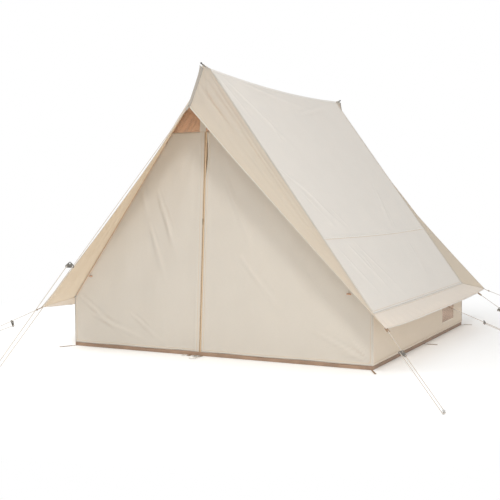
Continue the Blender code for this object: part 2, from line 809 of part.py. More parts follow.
def make_hubs():
    """The apex hub takes the top of both legs, and its pin holds the peak of the hood."""
    upright = Matrix.Rotation(math.pi / 2, 4, "X")
    for end, place in ((-1, "front"), (1, "rear")):
        middle = Matrix.Translation((0, end * (SHELTER[1] - FRAME_INSET), 0))
        bm = bmesh.new()
        add_prism(bm, hub_outline(end), HUB_DEPTH, middle @ upright)
        hub = add_object(f"{place}_apex_hub", bm, dark_fitting())
        bore = SPIGOT_RADIUS + SPIGOT_CLEARANCE
        profile = [(0, 0), (bore, 0), (bore, SPIGOT_LENGTH * 2), (0, SPIGOT_LENGTH * 2)]
        for side, hand in ((-1, "left"), (1, "right")):
            foot, top = leg_ends(side, end)
            bm = bmesh.new()
            add_turned(bm, profile, pointing(top, (foot - top).normalized()))
            combine(hub, add_object(f"{place}_{hand}_socket", bm, dark_fitting()), "DIFFERENCE")
        start, direction = pin_axis(end)
        length = (hood_peak(end) - start).length + PIN_REACH
        knob = [(PIN_RADIUS, length), (KNOB_RADIUS, length + PIN_RADIUS),
                (KNOB_RADIUS, length + 2 * PIN_RADIUS), (0, length + 3 * PIN_RADIUS)]
        bm = bmesh.new()
        add_turned(bm, [(0, 0), (PIN_RADIUS, 0)] + knob, pointing(start, direction), sides=8)
        combine(hub, add_object(f"{place}_pin", bm, dark_fitting()), "UNION")


def make_hood_webbing():
    """A strip of webbing folded over the middle seam of each hood, from the pin to a tab at the tip."""
    for end, place in ((-1, "front"), (1, "rear")):
        def surface(share, w, end=end):
            side = 1 if w > 0 else -1
            at = hood_surface(side, end)
            row = HOOD_TIP_ROW * min(share, 0.999)
            top, below = at(1, row), at(1, row - 0.01 if share > 0.5 else row + 0.01)
            in_hood = at(1 - 1 / HOOD_COLUMNS, row) - top
            normal = in_hood.cross(below - top).normalized()
            if normal.dot(hood_outward(side, end)) < 0:
                normal = -normal
            middle = Vector((0, normal.y, normal.z)).normalized()
            rise = CANVAS + 4 * GAP
            if abs(w) < 1e-6:
                return top + middle * rise / normal.dot(middle)
            return top + in_hood.normalized() * abs(w) + normal * rise

        half = STRIP_WIDTH / 2
        spot = next(spot for spot in guy_spots() if spot.name == place)
        strip = cloth(
            f"{place}_hood_webbing", surface, (STRIP_START, 1 / 3, 2 / 3, 1), (-half, 0, half),
            (0, end, 1), grey_webbing(), thickness=WEBBING, tabs=[(spot, -half, half)],
        )
        combine(strip, tab_holes(f"{place}_hood_tab_hole", [spot]), "DIFFERENCE")


GuySpot = namedtuple("GuySpot", "name side share hem peg")


def guy_spots():
    """Every place where a guyline can be tied, with the middle of its tab on the hem and its peg."""
    spots = []
    for end, name in ((-1, "front"), (1, "rear")):
        tip = hood_tip(end)
        spots.append(GuySpot(name, 0, 0, tip, Vector((0, tip.y + end * TIP_PEG_REACH, 0))))
    for name, (side, share, out, along) in EAVE_GUYS.items():
        hem = valance_surface(side)(1, sum(tab_span(share)) / 2)
        peg = Vector((hem.x + side * out, hem.y + along, 0))
        spots.append(GuySpot(name, side, share, hem, peg))
    return spots


# The guylines that are pitched: how far down each its slider is, as a share of its length, and how
# far the slider is turned round it, in degrees
GUYLINES = {
    "front": (0.565, 0),
    "front_left": (0.26, 75),
    "front_right": (0.33, -30),
    "middle_right": (0.36, 0),
    "side_rear_right": (0.36, 0),
    "rear_right": (0.34, 0),
}


def level_side(direction):
    """The level direction across a guyline."""
    return Vector((0, 0, 1)).cross(direction).normalized()


def tab_frame(spot):
    """The transform of a tab: X along the pull, Y level across it, and the hem at the origin."""
    pull = (spot.peg - spot.hem).normalized()
    across = level_side(pull)
    turn = Matrix((pull, across, pull.cross(across))).transposed().to_4x4()
    return Matrix.Translation(spot.hem) @ turn


def tab_holes(name, spots):
    """The cutter for the holes that the guylines are tied through."""
    bm = bmesh.new()
    reach = CANVAS * 6
    profile = [(0, -reach), (TAB_HOLE_RADIUS, -reach), (TAB_HOLE_RADIUS, reach), (0, reach)]
    for spot in spots:
        hole = Matrix.Translation((TAB_LENGTH - TAB_MARGIN, 0, 0))
        add_turned(bm, profile, tab_frame(spot) @ hole, sides=8)
    return add_object(name, bm, brown_webbing())


def add_cord(name, points):
    """A cord of round section along points, closed at both ends."""
    curve = bpy.data.curves.new(name, "CURVE")
    curve.dimensions = "3D"
    curve.bevel_depth = CORD / 2
    curve.bevel_resolution = 2
    curve.use_fill_caps = True
    line = curve.splines.new("POLY")
    line.points.add(len(points) - 1)
    for spot, point in zip(line.points, points):
        spot.co = (*point, 1.0)
    curve.materials.append(guy_cord())
    cord = bpy.data.objects.new(name, curve)
    bpy.context.scene.collection.objects.link(cord)
    return cord


def guyline_frame(name):
    """A guyline's start at its tab, the middle of its loop at the peg, its pull and level side."""
    spot = next(spot for spot in guy_spots() if spot.name == name)
    start = tab_frame(spot) @ Vector((TAB_LENGTH + CORD / 2, 0, CANVAS / 2))
    loop = Vector((spot.peg.x, spot.peg.y, LOOP_HEIGHT))
    pull = (loop - start).normalized()
    return start, loop, pull, level_side(pull)


def guyline_route(name):
    """Down from the tab, through the slider, round the peg, and back to the slider's other hole."""
    start, loop, pull, across = guyline_frame(name)
    turn = [
        loop + LOOP_RADIUS * (across * math.cos(angle) + pull * math.sin(angle))
        for angle in steps(0, math.pi, 6)
    ]
    knot = slider_frame(name) @ Vector((-HOLE_SPACING, 0, -2 * PLATE_THICKNESS))
    down = [mix(start, turn[0], share) for share in (0, 0.3, 0.6, 0.8, 0.92, 0.98)]
    back = [mix(turn[-1], knot, share) for share in (0.03, 0.12, 0.3, 0.6, 1)]
    return down + turn + back


def slider_place(name):
    """The middle of a slider's first hole, on the guyline, and the guyline's direction there."""
    start, loop, pull, across = guyline_frame(name)
    foot = loop + across * LOOP_RADIUS
    return mix(start, foot, GUYLINES[name][0]), (foot - start).normalized()


def slider_frame(name):
    """The transform of a slider before it tips: Z down the guyline, and its second hole at -X."""
    place, line = slider_place(name)
    across = level_side(line)
    turn = Matrix((across, line.cross(across), line)).transposed().to_4x4()
    roll = Matrix.Rotation(math.radians(GUYLINES[name][1]), 4, "Z")
    return Matrix.Translation(place) @ turn @ roll


def plate_outline():
    """A triangle with rounded corners round the slider's three holes."""
    middle = -HOLE_SPACING / 2
    return [
        (0.009, -0.002), (0.007, -0.008), (middle, -0.009), (-HOLE_SPACING - 0.007, -0.008),
        (-HOLE_SPACING - 0.009, -0.002), (-HOLE_SPACING - 0.006, 0.006), (middle - 0.007, 0.021),
        (middle, 0.024), (middle + 0.007, 0.021), (0.006, 0.006),
    ]


def make_guylines():
    """Six cords, each with a slider on it and the head of a peg that it goes round."""
    for name in GUYLINES:
        add_cord(f"guyline_{name}", guyline_route(name))
        make_slider(name, slider_frame(name) @ Matrix.Rotation(-PLATE_TILT, 4, "X"))
        start, loop, pull, across = guyline_frame(name)
        make_peg(name, loop, pull)


def make_slider(name, frame):
    """A three-hole plate that slides along its guyline."""
    bm = bmesh.new()
    add_prism(bm, plate_outline(), PLATE_THICKNESS, frame)
    plate = add_object(f"slider_{name}", bm, dark_fitting())
    bm = bmesh.new()
    reach = PLATE_THICKNESS
    profile = [(0, -reach), (HOLE_RADIUS, -reach), (HOLE_RADIUS, reach), (0, reach)]
    for hole in ((0, 0), (-HOLE_SPACING, 0), (-HOLE_SPACING / 2, 0.015)):
        add_turned(bm, profile, frame @ Matrix.Translation((*hole, 0)), sides=8)
    holes = add_object(f"slider_{name}_holes", bm, dark_fitting())
    combine(plate, holes, "DIFFERENCE")
    place, line = slider_place(name)
    hang_on(pivot(f"slider_track_{name}", place, line), plate, holes)


def make_peg(name, loop, pull):
    """The head of a peg that stands square to its guyline and leans away from the tent."""
    away = Vector((pull.x, pull.y, 0)).normalized()
    axis = away * -pull.z + Vector((0, 0, 1)) * pull.dot(away)
    below = -LOOP_HEIGHT * 3
    profile = [
        (0, below), (PEG_RADIUS, below), (PEG_RADIUS, PEG_SHOULDER),
        (PEG_CAP_RADIUS, PEG_SHOULDER), (PEG_CAP_RADIUS, PEG_SHOULDER + PEG_CAP_HEIGHT),
        (0, PEG_SHOULDER + PEG_CAP_HEIGHT),
    ]
    bm = bmesh.new()
    add_turned(bm, profile, pointing(loop, axis.normalized()), sides=8)
    cut_level(bm, 0)
    round_off(add_object(f"peg_{name}", bm, bright_steel()))


def make_toggles():
    """A toggle high on each side of the door holds the flap when it is tied back."""
    for side, (inset, z) in TOGGLES.items():
        profile = [
            (0, 0), (TOGGLE_RADIUS * 0.6, 0), (TOGGLE_RADIUS, TOGGLE_RADIUS),
            (TOGGLE_RADIUS, TOGGLE_LENGTH - TOGGLE_RADIUS), (TOGGLE_RADIUS * 0.6, TOGGLE_LENGTH),
            (0, TOGGLE_LENGTH),
        ]
        x = side * (roof_half_width(z) - inset) - TOGGLE_LENGTH / 2
        start = Vector((x, -SHELTER[1] - GAP - TOGGLE_RADIUS, z))
        bm = bmesh.new()
        add_turned(bm, profile, pointing(start, (1, 0, 0)), sides=8)
        name = "tie_back_toggle_right" if side > 0 else "tie_back_toggle_left"
        round_off(add_object(name, bm, dark_fitting()))


def main():
    for thing in list(bpy.data.objects):
        bpy.data.objects.remove(thing, do_unlink=True)
    make_roof()
    make_hoods()
    make_valances()
    make_side_walls()
    make_rear_wall()
    make_gable_nets()
    make_front_wall()
    make_floor()
    make_poles()
    make_hubs()
    make_hood_webbing()
    make_guylines()
    make_toggles()


main()
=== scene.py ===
"""The looks of a cotton A-frame tent, laid out as an add-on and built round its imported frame."""

import math
from collections import namedtuple

import bmesh
import bpy
from mathutils import Matrix, Vector, noise


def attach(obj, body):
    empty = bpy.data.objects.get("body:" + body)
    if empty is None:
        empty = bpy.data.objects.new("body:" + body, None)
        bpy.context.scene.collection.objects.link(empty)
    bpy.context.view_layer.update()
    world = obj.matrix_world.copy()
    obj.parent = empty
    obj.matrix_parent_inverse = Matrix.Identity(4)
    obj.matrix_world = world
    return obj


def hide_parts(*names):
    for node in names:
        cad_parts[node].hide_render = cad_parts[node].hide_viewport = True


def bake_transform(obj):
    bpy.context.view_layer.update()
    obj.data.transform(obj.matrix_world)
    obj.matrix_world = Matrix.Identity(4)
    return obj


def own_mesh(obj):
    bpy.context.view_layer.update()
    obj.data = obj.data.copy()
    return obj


bl_info = {
    "name": "Cotton A-frame tent",
    "version": (1, 0, 0),
    "blender": (4, 5, 0),
    "location": "3D View > Sidebar > Tent",
    "description": "Sews, pitches and colours a cotton A-frame tent piece by piece",
    "category": "Object",
}

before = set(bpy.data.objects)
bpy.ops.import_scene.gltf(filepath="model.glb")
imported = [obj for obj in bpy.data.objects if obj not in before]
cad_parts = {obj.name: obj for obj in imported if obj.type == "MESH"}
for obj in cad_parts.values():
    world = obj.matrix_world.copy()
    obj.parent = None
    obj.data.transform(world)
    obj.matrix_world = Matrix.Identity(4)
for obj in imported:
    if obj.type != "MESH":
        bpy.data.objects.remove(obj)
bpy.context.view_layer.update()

UP = Vector((0, 0, 1))
FRONT = Vector((0, -1, 0))
UPRIGHT = Matrix.Rotation(math.pi / 2, 4, "X")

# Where the seams of the pitched tent run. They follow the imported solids.
HALF_WIDTH = HALF_LENGTH = 1.175
PEAK_HEIGHT = 1.986
WALL_HEIGHT = 0.361
RIDGE_SAG = 0.033
EAVE_CORNER = Vector((1.327, 1.380, 0.301))
VALANCE_SAG = 0.022
HOOD_PEAK = Vector((0, 1.245, 1.990))
HOOD_PULL = Vector((0, 0.030, 0.0165))
HOOD_TIP = Vector((0, 1.470, 1.703))
HOOD_EDGE_SAG = {-1: 0.034, 1: 0.015}
HOOD_TIP_ROW = 0.25
HOOD_TIP_SEAM = 0.115
HOOD_TOP_WIDTH = 0.101
HOOD_TIP_WIDTH = 0.338
HOOD_STRIP_WIDTH = 0.034
HOOD_STRIP_ROWS = (0.09, 0.999)
HOOD_STRIP_GAP = 0.0004
ROOF_SEAM = 1.41
ROOF_FACING = 0.72
SKIRT_HEIGHT = 0.027
FLOOR_THICKNESS = 0.0016
GROUND_GAP = 0.0004

# The end walls, the door and its zip
DOOR_TOP = 1.560
GABLE_TOP = 1.930
WALL_GAP = 0.0008
WALL_INSET = 0.0016
DOOR_HEAD_WIDTH = 0.050
DOOR_FOOT_MARGIN = 0.012
DOOR_FOLDS = 2
DOOR_FOLD_DEPTH = 0.004
DOOR_GAPE = 0.012
DOOR_GAPE_FOOT = 1.24
ZIP_FOOT_X = -0.098
ZIP_LEAN = 0.038
TAPE_WIDTH = 0.012
TAPE_THICKNESS = 0.0013
TEETH_GAP = 0.0036
TOOTH_WIDTH = 0.0044
TOOTH_PAST_MIDDLE = 0.0010
TOOTH_DEPTH = 0.0020
ZIP_COVER_WIDTH = 0.040
ZIP_COVER_GAP = 0.0059
SLIDER_PLACE = 0.950
SLIDER_HALF_WIDTH = 0.0055
SLIDER_HALF_LENGTH = 0.011
SLIDER_WALL = 0.0018
# The depths between which the teeth run through the slider
SLIDER_GAP = (-HALF_LENGTH - 0.0004, -HALF_LENGTH + 0.0020)
BRIDGE_RISE = 0.0012
TOGGLES = {"right": (1, 0.075, 0.482), "left": (-1, 0.030, 0.529)}

# The side walls
VENT = ((0.515, 0.895), (0.090, 0.270))
VENT_BORDER = 0.016
NET_MARGIN = 0.0005

# How the cloth is made
HEM_STEP = 0.0015
SEAM_MARGIN = 0.006
LINE_GAP = 0.004
HELD_REACH = 0.07
# How far below its neighbours a crease hollow lies when it gets the full painted shade
FOLD_SHADING_DEPTH = 0.0016
CREASE_SPREAD = 1.5
TAPE_OVER_SEAM = 0.008

# The pole frames
TUBE_RADIUS = 0.0125
SPIGOT_RADIUS = 0.0105
SPIGOT_LENGTH = 0.060
FRAME_Y = 1.145
LEG_FOOT_X = 1.100
LEG_TOP = (0.028, 1.916)
SOCKET_DEPTH = 0.050
HUB_DEPTH = 0.034
PIN_RADIUS = 0.004
PIN_SLOPE = 0.3735
PIN_REACH = 0.048
KNOB_RADIUS = 0.0065
SOCKET_RADIUS = 0.0155
BUTTON_PLACE = 0.022

# Straps at the foot of the walls
STRAP_WIDTH = 0.012
SILL_REACH = 0.045
SILL_STRAP_WIDTH = 0.024
SILL_STRAP_PLACES = (-0.213, -0.168, -0.123, -0.078)
SILL_CORD = 0.0036
SILL_CORD_GAP = 0.0165
SILL_BAR_REACH = 0.090
SILL_BAR_HALF = 0.0275

# Guylines
TAB_WIDTH = 0.022
TAB_LENGTH = 0.046
TAB_MARGIN = 0.009
TAB_RING = 0.0056
TAB_RING_PLACE = TAB_LENGTH - 0.0037
CORD = 0.004
KNOT_CORD = CORD * 0.42
RING_TURN = math.tau * 0.96
PLATE_THICKNESS = 0.003
PLATE_TILT = math.radians(45)
HOLE_SPACING = 0.040
HOLE_RADIUS = 0.005
LOOP_RADIUS = 0.009
LOOP_HEIGHT = 0.010
TENSIONER_TRAVEL = 0.25
EAVE_GUYS = {
    # side, share of the eave's half length, peg's distance outwards and along
    "front_left": (-1, -1.0, 0.450, -0.600),
    "front_right": (1, -1.0, 0.560, -0.787),
    "middle_left": (-1, 0.083, 0.700, 0.0),
    "middle_right": (1, 0.083, 0.700, 0.0),
    "side_rear_left": (-1, 0.815, 0.623, -0.575),
    "side_rear_right": (1, 0.815, 0.623, -0.575),
    "rear_left": (-1, 1.0, 0.600, 0.420),
    "rear_right": (1, 1.0, 0.600, 0.420),
}
TIP_PEG_REACH = 2.175
GUYLINES = {
    # share of the way down to the peg where the plate is, and the plate's roll in degrees
    "front": (0.565, 0),
    "front_left": (0.26, 75),
    "front_right": (0.33, -30),
    "middle_right": (0.36, 0),
    "side_rear_right": (0.36, 0),
    "rear_right": (0.34, 0),
}

# The studio, and the camera as it was solved from the photograph
FLOOR_REACH = 40.0
FLOOR_DROP = 0.0005
FLOOR_FADE = (1.8, 3.8)
LAMPS = (
    # strength, width, place, aim
    ("key", 1.3, (3.7, -6.3, 5.9), (0.0, -0.3, 1.0)),
    ("left", 3.0, (-5.6, -2.6, 4.8), (0.0, -0.6, 1.0)),
    ("fill", 3.0, (4.6, -7.8, 1.6), (0.0, -0.6, 0.8)),
)
CAMERA_PLACE = (3.04483, -6.62834, 1.08202)
CAMERA_TURNS = (("Z", 26.7083), ("X", 86.8946), ("Z", -0.2216))
SENSOR_WIDTH = 36.0


def size(name, description, default, **more):
    return bpy.props.FloatProperty(
        name=name, description=description, default=default, min=0.0, unit="LENGTH", **more
    )


def amount(name, description, default, top=1.0):
    return bpy.props.FloatProperty(
        name=name, description=description, default=default, min=0.0, max=top, subtype="FACTOR"
    )


def colour(name, description, default):
    return bpy.props.FloatVectorProperty(
        name=name, description=description, default=default, min=0.0, max=1.0, subtype="COLOR"
    )


class TentSizes(bpy.types.PropertyGroup):
    canvas: size("Canvas", "Thickness of the cotton canvas", 0.0016)
    hem: size("Hem", "Width of the folded hems and felled seams", 0.014)
    hem_rise: size("Hem rise", "How far the extra layers of a hem stand up", 0.0011)
    stitch: size("Stitch", "Length of one stitch and the space after it", 0.0042)
    thread: size("Thread", "Distance between two threads of the canvas", 0.0009)
    grid: size("Grid", "Distance between the mesh lines of a panel", 0.024)
    slack: size("Slack", "How far a panel hangs in between its seams", 0.010)
    net_mesh: size("Net mesh", "Distance between two threads of the insect net", 0.0020)
    tooth: size("Tooth", "Distance between two teeth of the zip", 0.0040)
    webbing: size("Webbing", "Thickness of the webbing", 0.0018)
    creases: amount("Creases", "Depth of the creases in the canvas", 1.0, 3.0)


class TentColours(bpy.types.PropertyGroup):
    roof: colour("Roof canvas", "Unbleached roof cloth", (0.800, 0.785, 0.745))
    # Painted shade: a darker, greyer copy of the roof cloth, set against the light and tan glow
    # that reach the hoods
    hood: colour("Hood canvas", "Thinner cloth of the hoods", (0.612, 0.618, 0.575))
    wall: colour("Wall canvas", "Unbleached wall cloth", (0.675, 0.640, 0.572))
    # Painted light: the wall cloth lighter and more tan, for light from inside glowing through the
    # side walls in the shade of the valances
    side_wall: colour("Side wall canvas", "Wall cloth under the eaves", (0.850, 0.770, 0.650))
    glow: colour("Canvas against the light", "What shines through the cloth", (0.93, 0.77, 0.585))
    thread: colour("Sewing thread", "Stitches", (0.560, 0.430, 0.300))
    binding: colour("Binding", "Tape in the seams of the walls", (0.640, 0.440, 0.290))
    net: colour("Insect net", "Gables", (0.660, 0.410, 0.270))
    # Painted light: the net lighter and greyer in the vents, for the brighter inside seen through
    # them
    vent_net: colour("Vent net", "Vents in the side walls", (0.700, 0.530, 0.420))
    groundsheet: colour("Groundsheet", "Coated floor cloth", (0.270, 0.175, 0.115))
    webbing: colour("Webbing", "Tabs and pegging straps", (0.300, 0.200, 0.125))
    grey_webbing: colour("Grey webbing", "Middle seam of a hood", (0.360, 0.325, 0.280))
    tube: colour("Pole tube", "Drawn aluminium", (0.780, 0.785, 0.790))
    plastic: colour("Hub plastic", "Moulded nylon", (0.055, 0.050, 0.045))
    zip_tape: colour("Zip tape", "Woven tape", (0.640, 0.470, 0.310))
    zip_metal: colour("Zip metal", "Slider and pull", (0.330, 0.240, 0.150))
    toggle: colour("Toggle wood", "Turned toggles", (0.600, 0.350, 0.220))
    cord: colour("Guy cord", "Braided cotton cord", (0.500, 0.440, 0.370))
    tensioner: colour("Tensioner", "Guyline plates", (0.110, 0.100, 0.085))
    sill_bar: colour("Sill bar", "Pale nylon", (0.620, 0.600, 0.560))
    steel: colour("Peg steel", "Bright forged steel", (0.560, 0.550, 0.530))
    floor: colour("Studio floor", "Plain pale floor", (0.930, 0.930, 0.925))


class TentStudio(bpy.types.PropertyGroup):
    lens: bpy.props.FloatProperty(
        name="Lens", description="Focal length on a 36 mm sensor, in millimetres",
        default=65.03, min=10.0, max=300.0,
    )
    key: bpy.props.FloatProperty(
        name="Key lamp", description="Strength of the lamp to the right of the door", default=205.0,
        min=0.0, unit="POWER",
    )
    fill: bpy.props.FloatProperty(
        name="Fill lamp", description="Strength of the low lamp in front", default=110.0,
        min=0.0, unit="POWER",
    )
    left: bpy.props.FloatProperty(
        name="Left lamp", description="Strength of the lamp that shines through the left hood",
        default=180.0, min=0.0, unit="POWER",
    )
    sky: amount("Sky", "Even light from all round", 0.88, 2.0)


# Materials


class Number:
    """A number that changes over a surface: a socket that takes part in ordinary sums."""

    def __init__(self, finish, socket):
        self.finish = finish
        self.socket = socket

    def sum(self, operation, *others):
        values = dict(enumerate((self, *others)))
        made = self.finish.node("ShaderNodeMath", {"operation": operation}, values)
        return Number(self.finish, made.outputs[0])

    def __add__(self, other):
        return self.sum("ADD", other)

    def __mul__(self, other):
        return self.sum("MULTIPLY", other)

    def __sub__(self, other):
        return self.sum("SUBTRACT", other)

    def __rsub__(self, other):
        return (self * -1.0) + other

    def __truediv__(self, other):
        return self.sum("DIVIDE", other)

    def __abs__(self):
        return self.sum("ABSOLUTE")

    __radd__ = __add__
    __rmul__ = __mul__

    def wave(self, length):
        """From 0 to 1 and back over each length."""
        return (self * (math.tau / length)).sum("SINE") * 0.5 + 0.5

    def rising(self, low, high):
        """0 below low, 1 above high, and smooth between them."""
        made = self.finish.node(
            "ShaderNodeMapRange", {"interpolation_type": "SMOOTHSTEP"},
            {"Value": self, "From Min": low, "From Max": high},
        )
        return Number(self.finish, made.outputs["Result"])

    def near(self, middle, width):
        """1 at middle, down to 0 at width from it."""
        return 1.0 - abs(self - middle).rising(width * 0.5, width)

    def larger(self, other):
        return self.sum("MAXIMUM", other)


class Finish:
    """A material in the making, or the sky."""

    def __init__(self, name, kind="materials", shader="Principled BSDF"):
        self.material = getattr(bpy.data, kind).new(name)
        self.material.use_nodes = True
        self.tree = self.material.node_tree
        self.shader = self.tree.nodes[shader]

    def node(self, kind, settings=None, values=None):
        """Adds a node: its settings first, then a value or a link for each socket."""
        made = self.tree.nodes.new(kind)
        for key, value in (settings or {}).items():
            if key == "stops":
                ramp = made.color_ramp.elements
                for at, shade in value:
                    stop = ramp[0] if at == 0 else ramp[1] if at == 1 else ramp.new(at)
                    stop.color = (*shade, 1.0)
            else:
                setattr(made, key, value)
        for key, value in (values or {}).items():
            self.feed(made.inputs[key], value)
        return made

    def feed(self, socket, value):
        if isinstance(value, Number):
            self.tree.links.new(value.socket, socket)
        elif isinstance(value, bpy.types.NodeSocket):
            self.tree.links.new(value, socket)
        elif socket.type == "RGBA":
            socket.default_value = (*tuple(value)[:3], 1.0)
        else:
            socket.default_value = value

    def set(self, **values):
        """Feeds the main shader; an underscore stands for a space in a socket's name."""
        for key, value in values.items():
            self.feed(self.shader.inputs[key.replace("_", " ")], value)

    def place(self, source="Object", scale=(1.0, 1.0, 1.0)):
        """Metres times scale: the object's own coordinates, or UV, which runs along the cloth."""
        made = self.node("ShaderNodeTexCoord")
        values = {"Vector": made.outputs[source], "Scale": scale}
        return self.node("ShaderNodeMapping", None, values).outputs[0]

    def axes(self, source="UV"):
        split = self.node("ShaderNodeSeparateXYZ", None, {0: self.place(source)})
        return [Number(self, socket) for socket in split.outputs]

    def stored(self, name):
        made = self.node("ShaderNodeAttribute", {"attribute_name": name})
        return Number(self, made.outputs["Fac"])

    def cloud(self, where, scale=1.0, detail=2.0, roughness=0.5):
        values = {"Vector": where, "Scale": scale, "Detail": detail, "Roughness": roughness}
        return Number(self, self.node("ShaderNodeTexNoise", None, values).outputs[0])

    def mixed(self, share, first, second):
        """The colour that is share of the way from first to second."""
        made = self.node(
            "ShaderNodeMix", {"data_type": "RGBA", "clamp_factor": True},
            {0: share, 6: first, 7: second},
        )
        return made.outputs[2]

    def bump(self, height, distance, strength):
        values = {"Height": height, "Distance": distance, "Strength": strength}
        self.set(Normal=self.node("ShaderNodeBump", None, values).outputs[0])

    def mix_in(self, share, kind, tint):
        """Mixes in that share of another kind of shader."""
        other = self.node(kind, None, {"Color": tint})
        values = {0: share, 1: self.shader.outputs[0], 2: other.outputs[0]}
        mixed = self.node("ShaderNodeMixShader", None, values)
        self.feed(self.tree.nodes["Material Output"].inputs[0], mixed.outputs[0])


def toned(shade, factor):
    return tuple(min(1.0, value * factor) for value in tuple(shade)[:3])


def scene_sizes():
    return bpy.context.scene.tent_sizes


def scene_colours():
    return bpy.context.scene.tent_colours


def canvas(name, shade, through, fold_shade_warmth):
    """Heavy cotton: uneven threads both ways, slubs, two rows of stitches in every hem.

    Through is the share of light from the far side. Crease hollows get painted shade, tan in the
    deepest by the last argument, crease ridges a painted highlight, and each hem's foot a painted
    shadow line.
    """
    finish = Finish(name)
    sizes, tones = scene_sizes(), scene_colours()
    count = 1.0 / sizes.thread
    warp = finish.cloud(finish.place("UV", (count, count / 26, 1.0)), detail=1.0)
    weft = finish.cloud(finish.place("UV", (count / 26, count, 1.0)), detail=1.0)
    slubs = finish.cloud(finish.place("UV", (26.0, 420.0, 1.0)), detail=2.0)
    mottle = finish.cloud(finish.place(), 5.0, 3.0)
    edge, run, valley = (finish.stored(name) for name in ("edge", "run", "valley"))
    sewn = 1.0 - edge.rising(sizes.hem, sizes.hem + 0.003)
    rows = edge.near(0.0035, 0.0012).larger(edge.near(sizes.hem - 0.002, 0.0012))
    stitches = rows * run.wave(sizes.stitch).rising(0.2, 0.5)
    threads = warp * 0.5 + weft * 0.5
    cloth = finish.mixed(threads.rising(0.3, 0.7), toned(shade, 0.955), toned(shade, 1.035))
    cloth = finish.mixed(slubs.rising(0.60, 0.76) * 0.55, cloth, toned(shade, 0.88))
    cloth = finish.mixed(mottle.rising(0.35, 0.7) * 0.35, cloth, toned(shade, 0.94))
    # Painted highlight on the ridges of the creases and painted shade in their hollows, tan where
    # deepest
    cloth = finish.mixed((valley * -1.0).rising(0.0, 1.0) * 0.5, cloth, toned(shade, 1.07))
    cloth = finish.mixed(valley.rising(0.0, 1.0) * 0.6, cloth, toned(shade, 0.84))
    cloth = finish.mixed(valley.rising(0.4, 1.4) * fold_shade_warmth, cloth, toned(tones.binding, 1.25))
    # Painted shadow: a tan line at the foot of each hem's raised step
    fold = edge.near(sizes.hem + 0.0015, 0.0035)
    cloth = finish.mixed(fold * 0.45, cloth, toned(tones.thread, 1.15))
    finish.set(
        Base_Color=finish.mixed(stitches * 0.7, cloth, toned(tones.thread, 1.0)),
        Roughness=0.84 + 0.12 * threads,
        Specular_IOR_Level=0.2,
        Sheen_Weight=0.12,
        Sheen_Roughness=0.5,
    )
    finish.bump(threads + slubs * 0.5 - stitches * 1.6, 0.0005, 0.6)
    finish.mix_in(through * (1.0 - 0.30 * sewn), "ShaderNodeBsdfTranslucent", tuple(tones.glow))
    return finish.material


def roof_canvas():
    return canvas("roof_canvas_cotton", scene_colours().roof, 0.30, 0.0)


# Painted shade: the hoods and the tapes on their seams get the darker, greyer copy of the roof
# cloth
def shaded_hood_canvas():
    return canvas("hood_canvas_cotton", scene_colours().hood, 0.50, 0.16)


def valance_canvas():
    return canvas("valance_canvas_cotton", toned(scene_colours().roof, 0.97), 0.36, 0.1)


def wall_canvas():
    return canvas("wall_canvas_cotton", scene_colours().wall, 0.30, 0.15)


# Painted light: a lighter, more tan copy of the wall cloth for the side walls and the borders of
# their vents
def lit_side_wall_canvas():
    return canvas("side_wall_canvas_cotton", scene_colours().side_wall, 0.30, 0.15)


def knitted(name, shade):
    """Fine knitted net that shows what is behind it between its threads."""
    finish = Finish(name)
    across, along, _ = finish.axes()
    pitch = scene_sizes().net_mesh
    threads = across.wave(pitch).larger(along.wave(pitch)).rising(0.72, 0.92)
    folds = finish.cloud(finish.place("UV", (22.0, 2.5, 1.0)), detail=2.0)
    finish.set(
        Base_Color=finish.mixed(folds.rising(0.3, 0.7), toned(shade, 0.90), toned(shade, 1.12)),
        Roughness=0.75 - 0.1 * threads,
        Alpha=0.42 + 0.40 * threads,
    )
    finish.bump(threads, 0.0004, 0.5)
    return finish.material


def gable_net():
    return knitted("insect_net", scene_colours().net)


# Painted light: a lighter, greyer copy of the net colour for the vents
def vent_net():
    return knitted("vent_insect_net", scene_colours().vent_net)


def coated_cloth():
    """The groundsheet: a coated ripstop with a dull shine."""
    finish = Finish("groundsheet_coated")
    shade = scene_colours().groundsheet
    x, y, z = finish.axes("Object")
    grid = x.wave(0.006).rising(0.9, 1.0).larger((y + z).wave(0.006).rising(0.9, 1.0))
    cloud = finish.cloud(finish.place(), 9.0, 4.0)
    dusty = finish.mixed(cloud.rising(0.35, 0.7), toned(shade, 0.86), toned(shade, 1.18))
    finish.set(
        Base_Color=finish.mixed(grid * 0.5, dusty, toned(shade, 1.3)),
        Roughness=0.42 + 0.25 * cloud,
    )
    finish.bump(grid * 0.4 + cloud * 0.6, 0.0006, 0.6)
    return finish.material


def woven(name, shade, pitch=0.0042):
    """Webbing or tape: slanting ribs that turn back along the middle, and worn edges."""
    finish = Finish(name)
    across, along, _ = finish.axes()
    ribs = (along + abs(across) * 0.9).wave(pitch)
    fuzz = finish.cloud(finish.place("UV", (900.0, 900.0, 1.0)), detail=2.0)
    body = finish.mixed(ribs, toned(shade, 0.72), toned(shade, 1.15))
    finish.set(
        Base_Color=finish.mixed(fuzz.rising(0.55, 0.8) * 0.4, body, toned(shade, 1.4)),
        Roughness=0.72 + 0.2 * fuzz,
    )
    finish.bump(ribs + fuzz * 0.4, 0.0006, 0.7)
    return finish.material


def brown_webbing():
    return woven("webbing_brown", scene_colours().webbing)


def grey_webbing():
    return woven("webbing_grey", scene_colours().grey_webbing)


def zip_tape():
    return woven("zip_tape_woven", scene_colours().zip_tape, 0.0016)


def binding():
    return woven("seam_binding", scene_colours().binding, 0.0024)


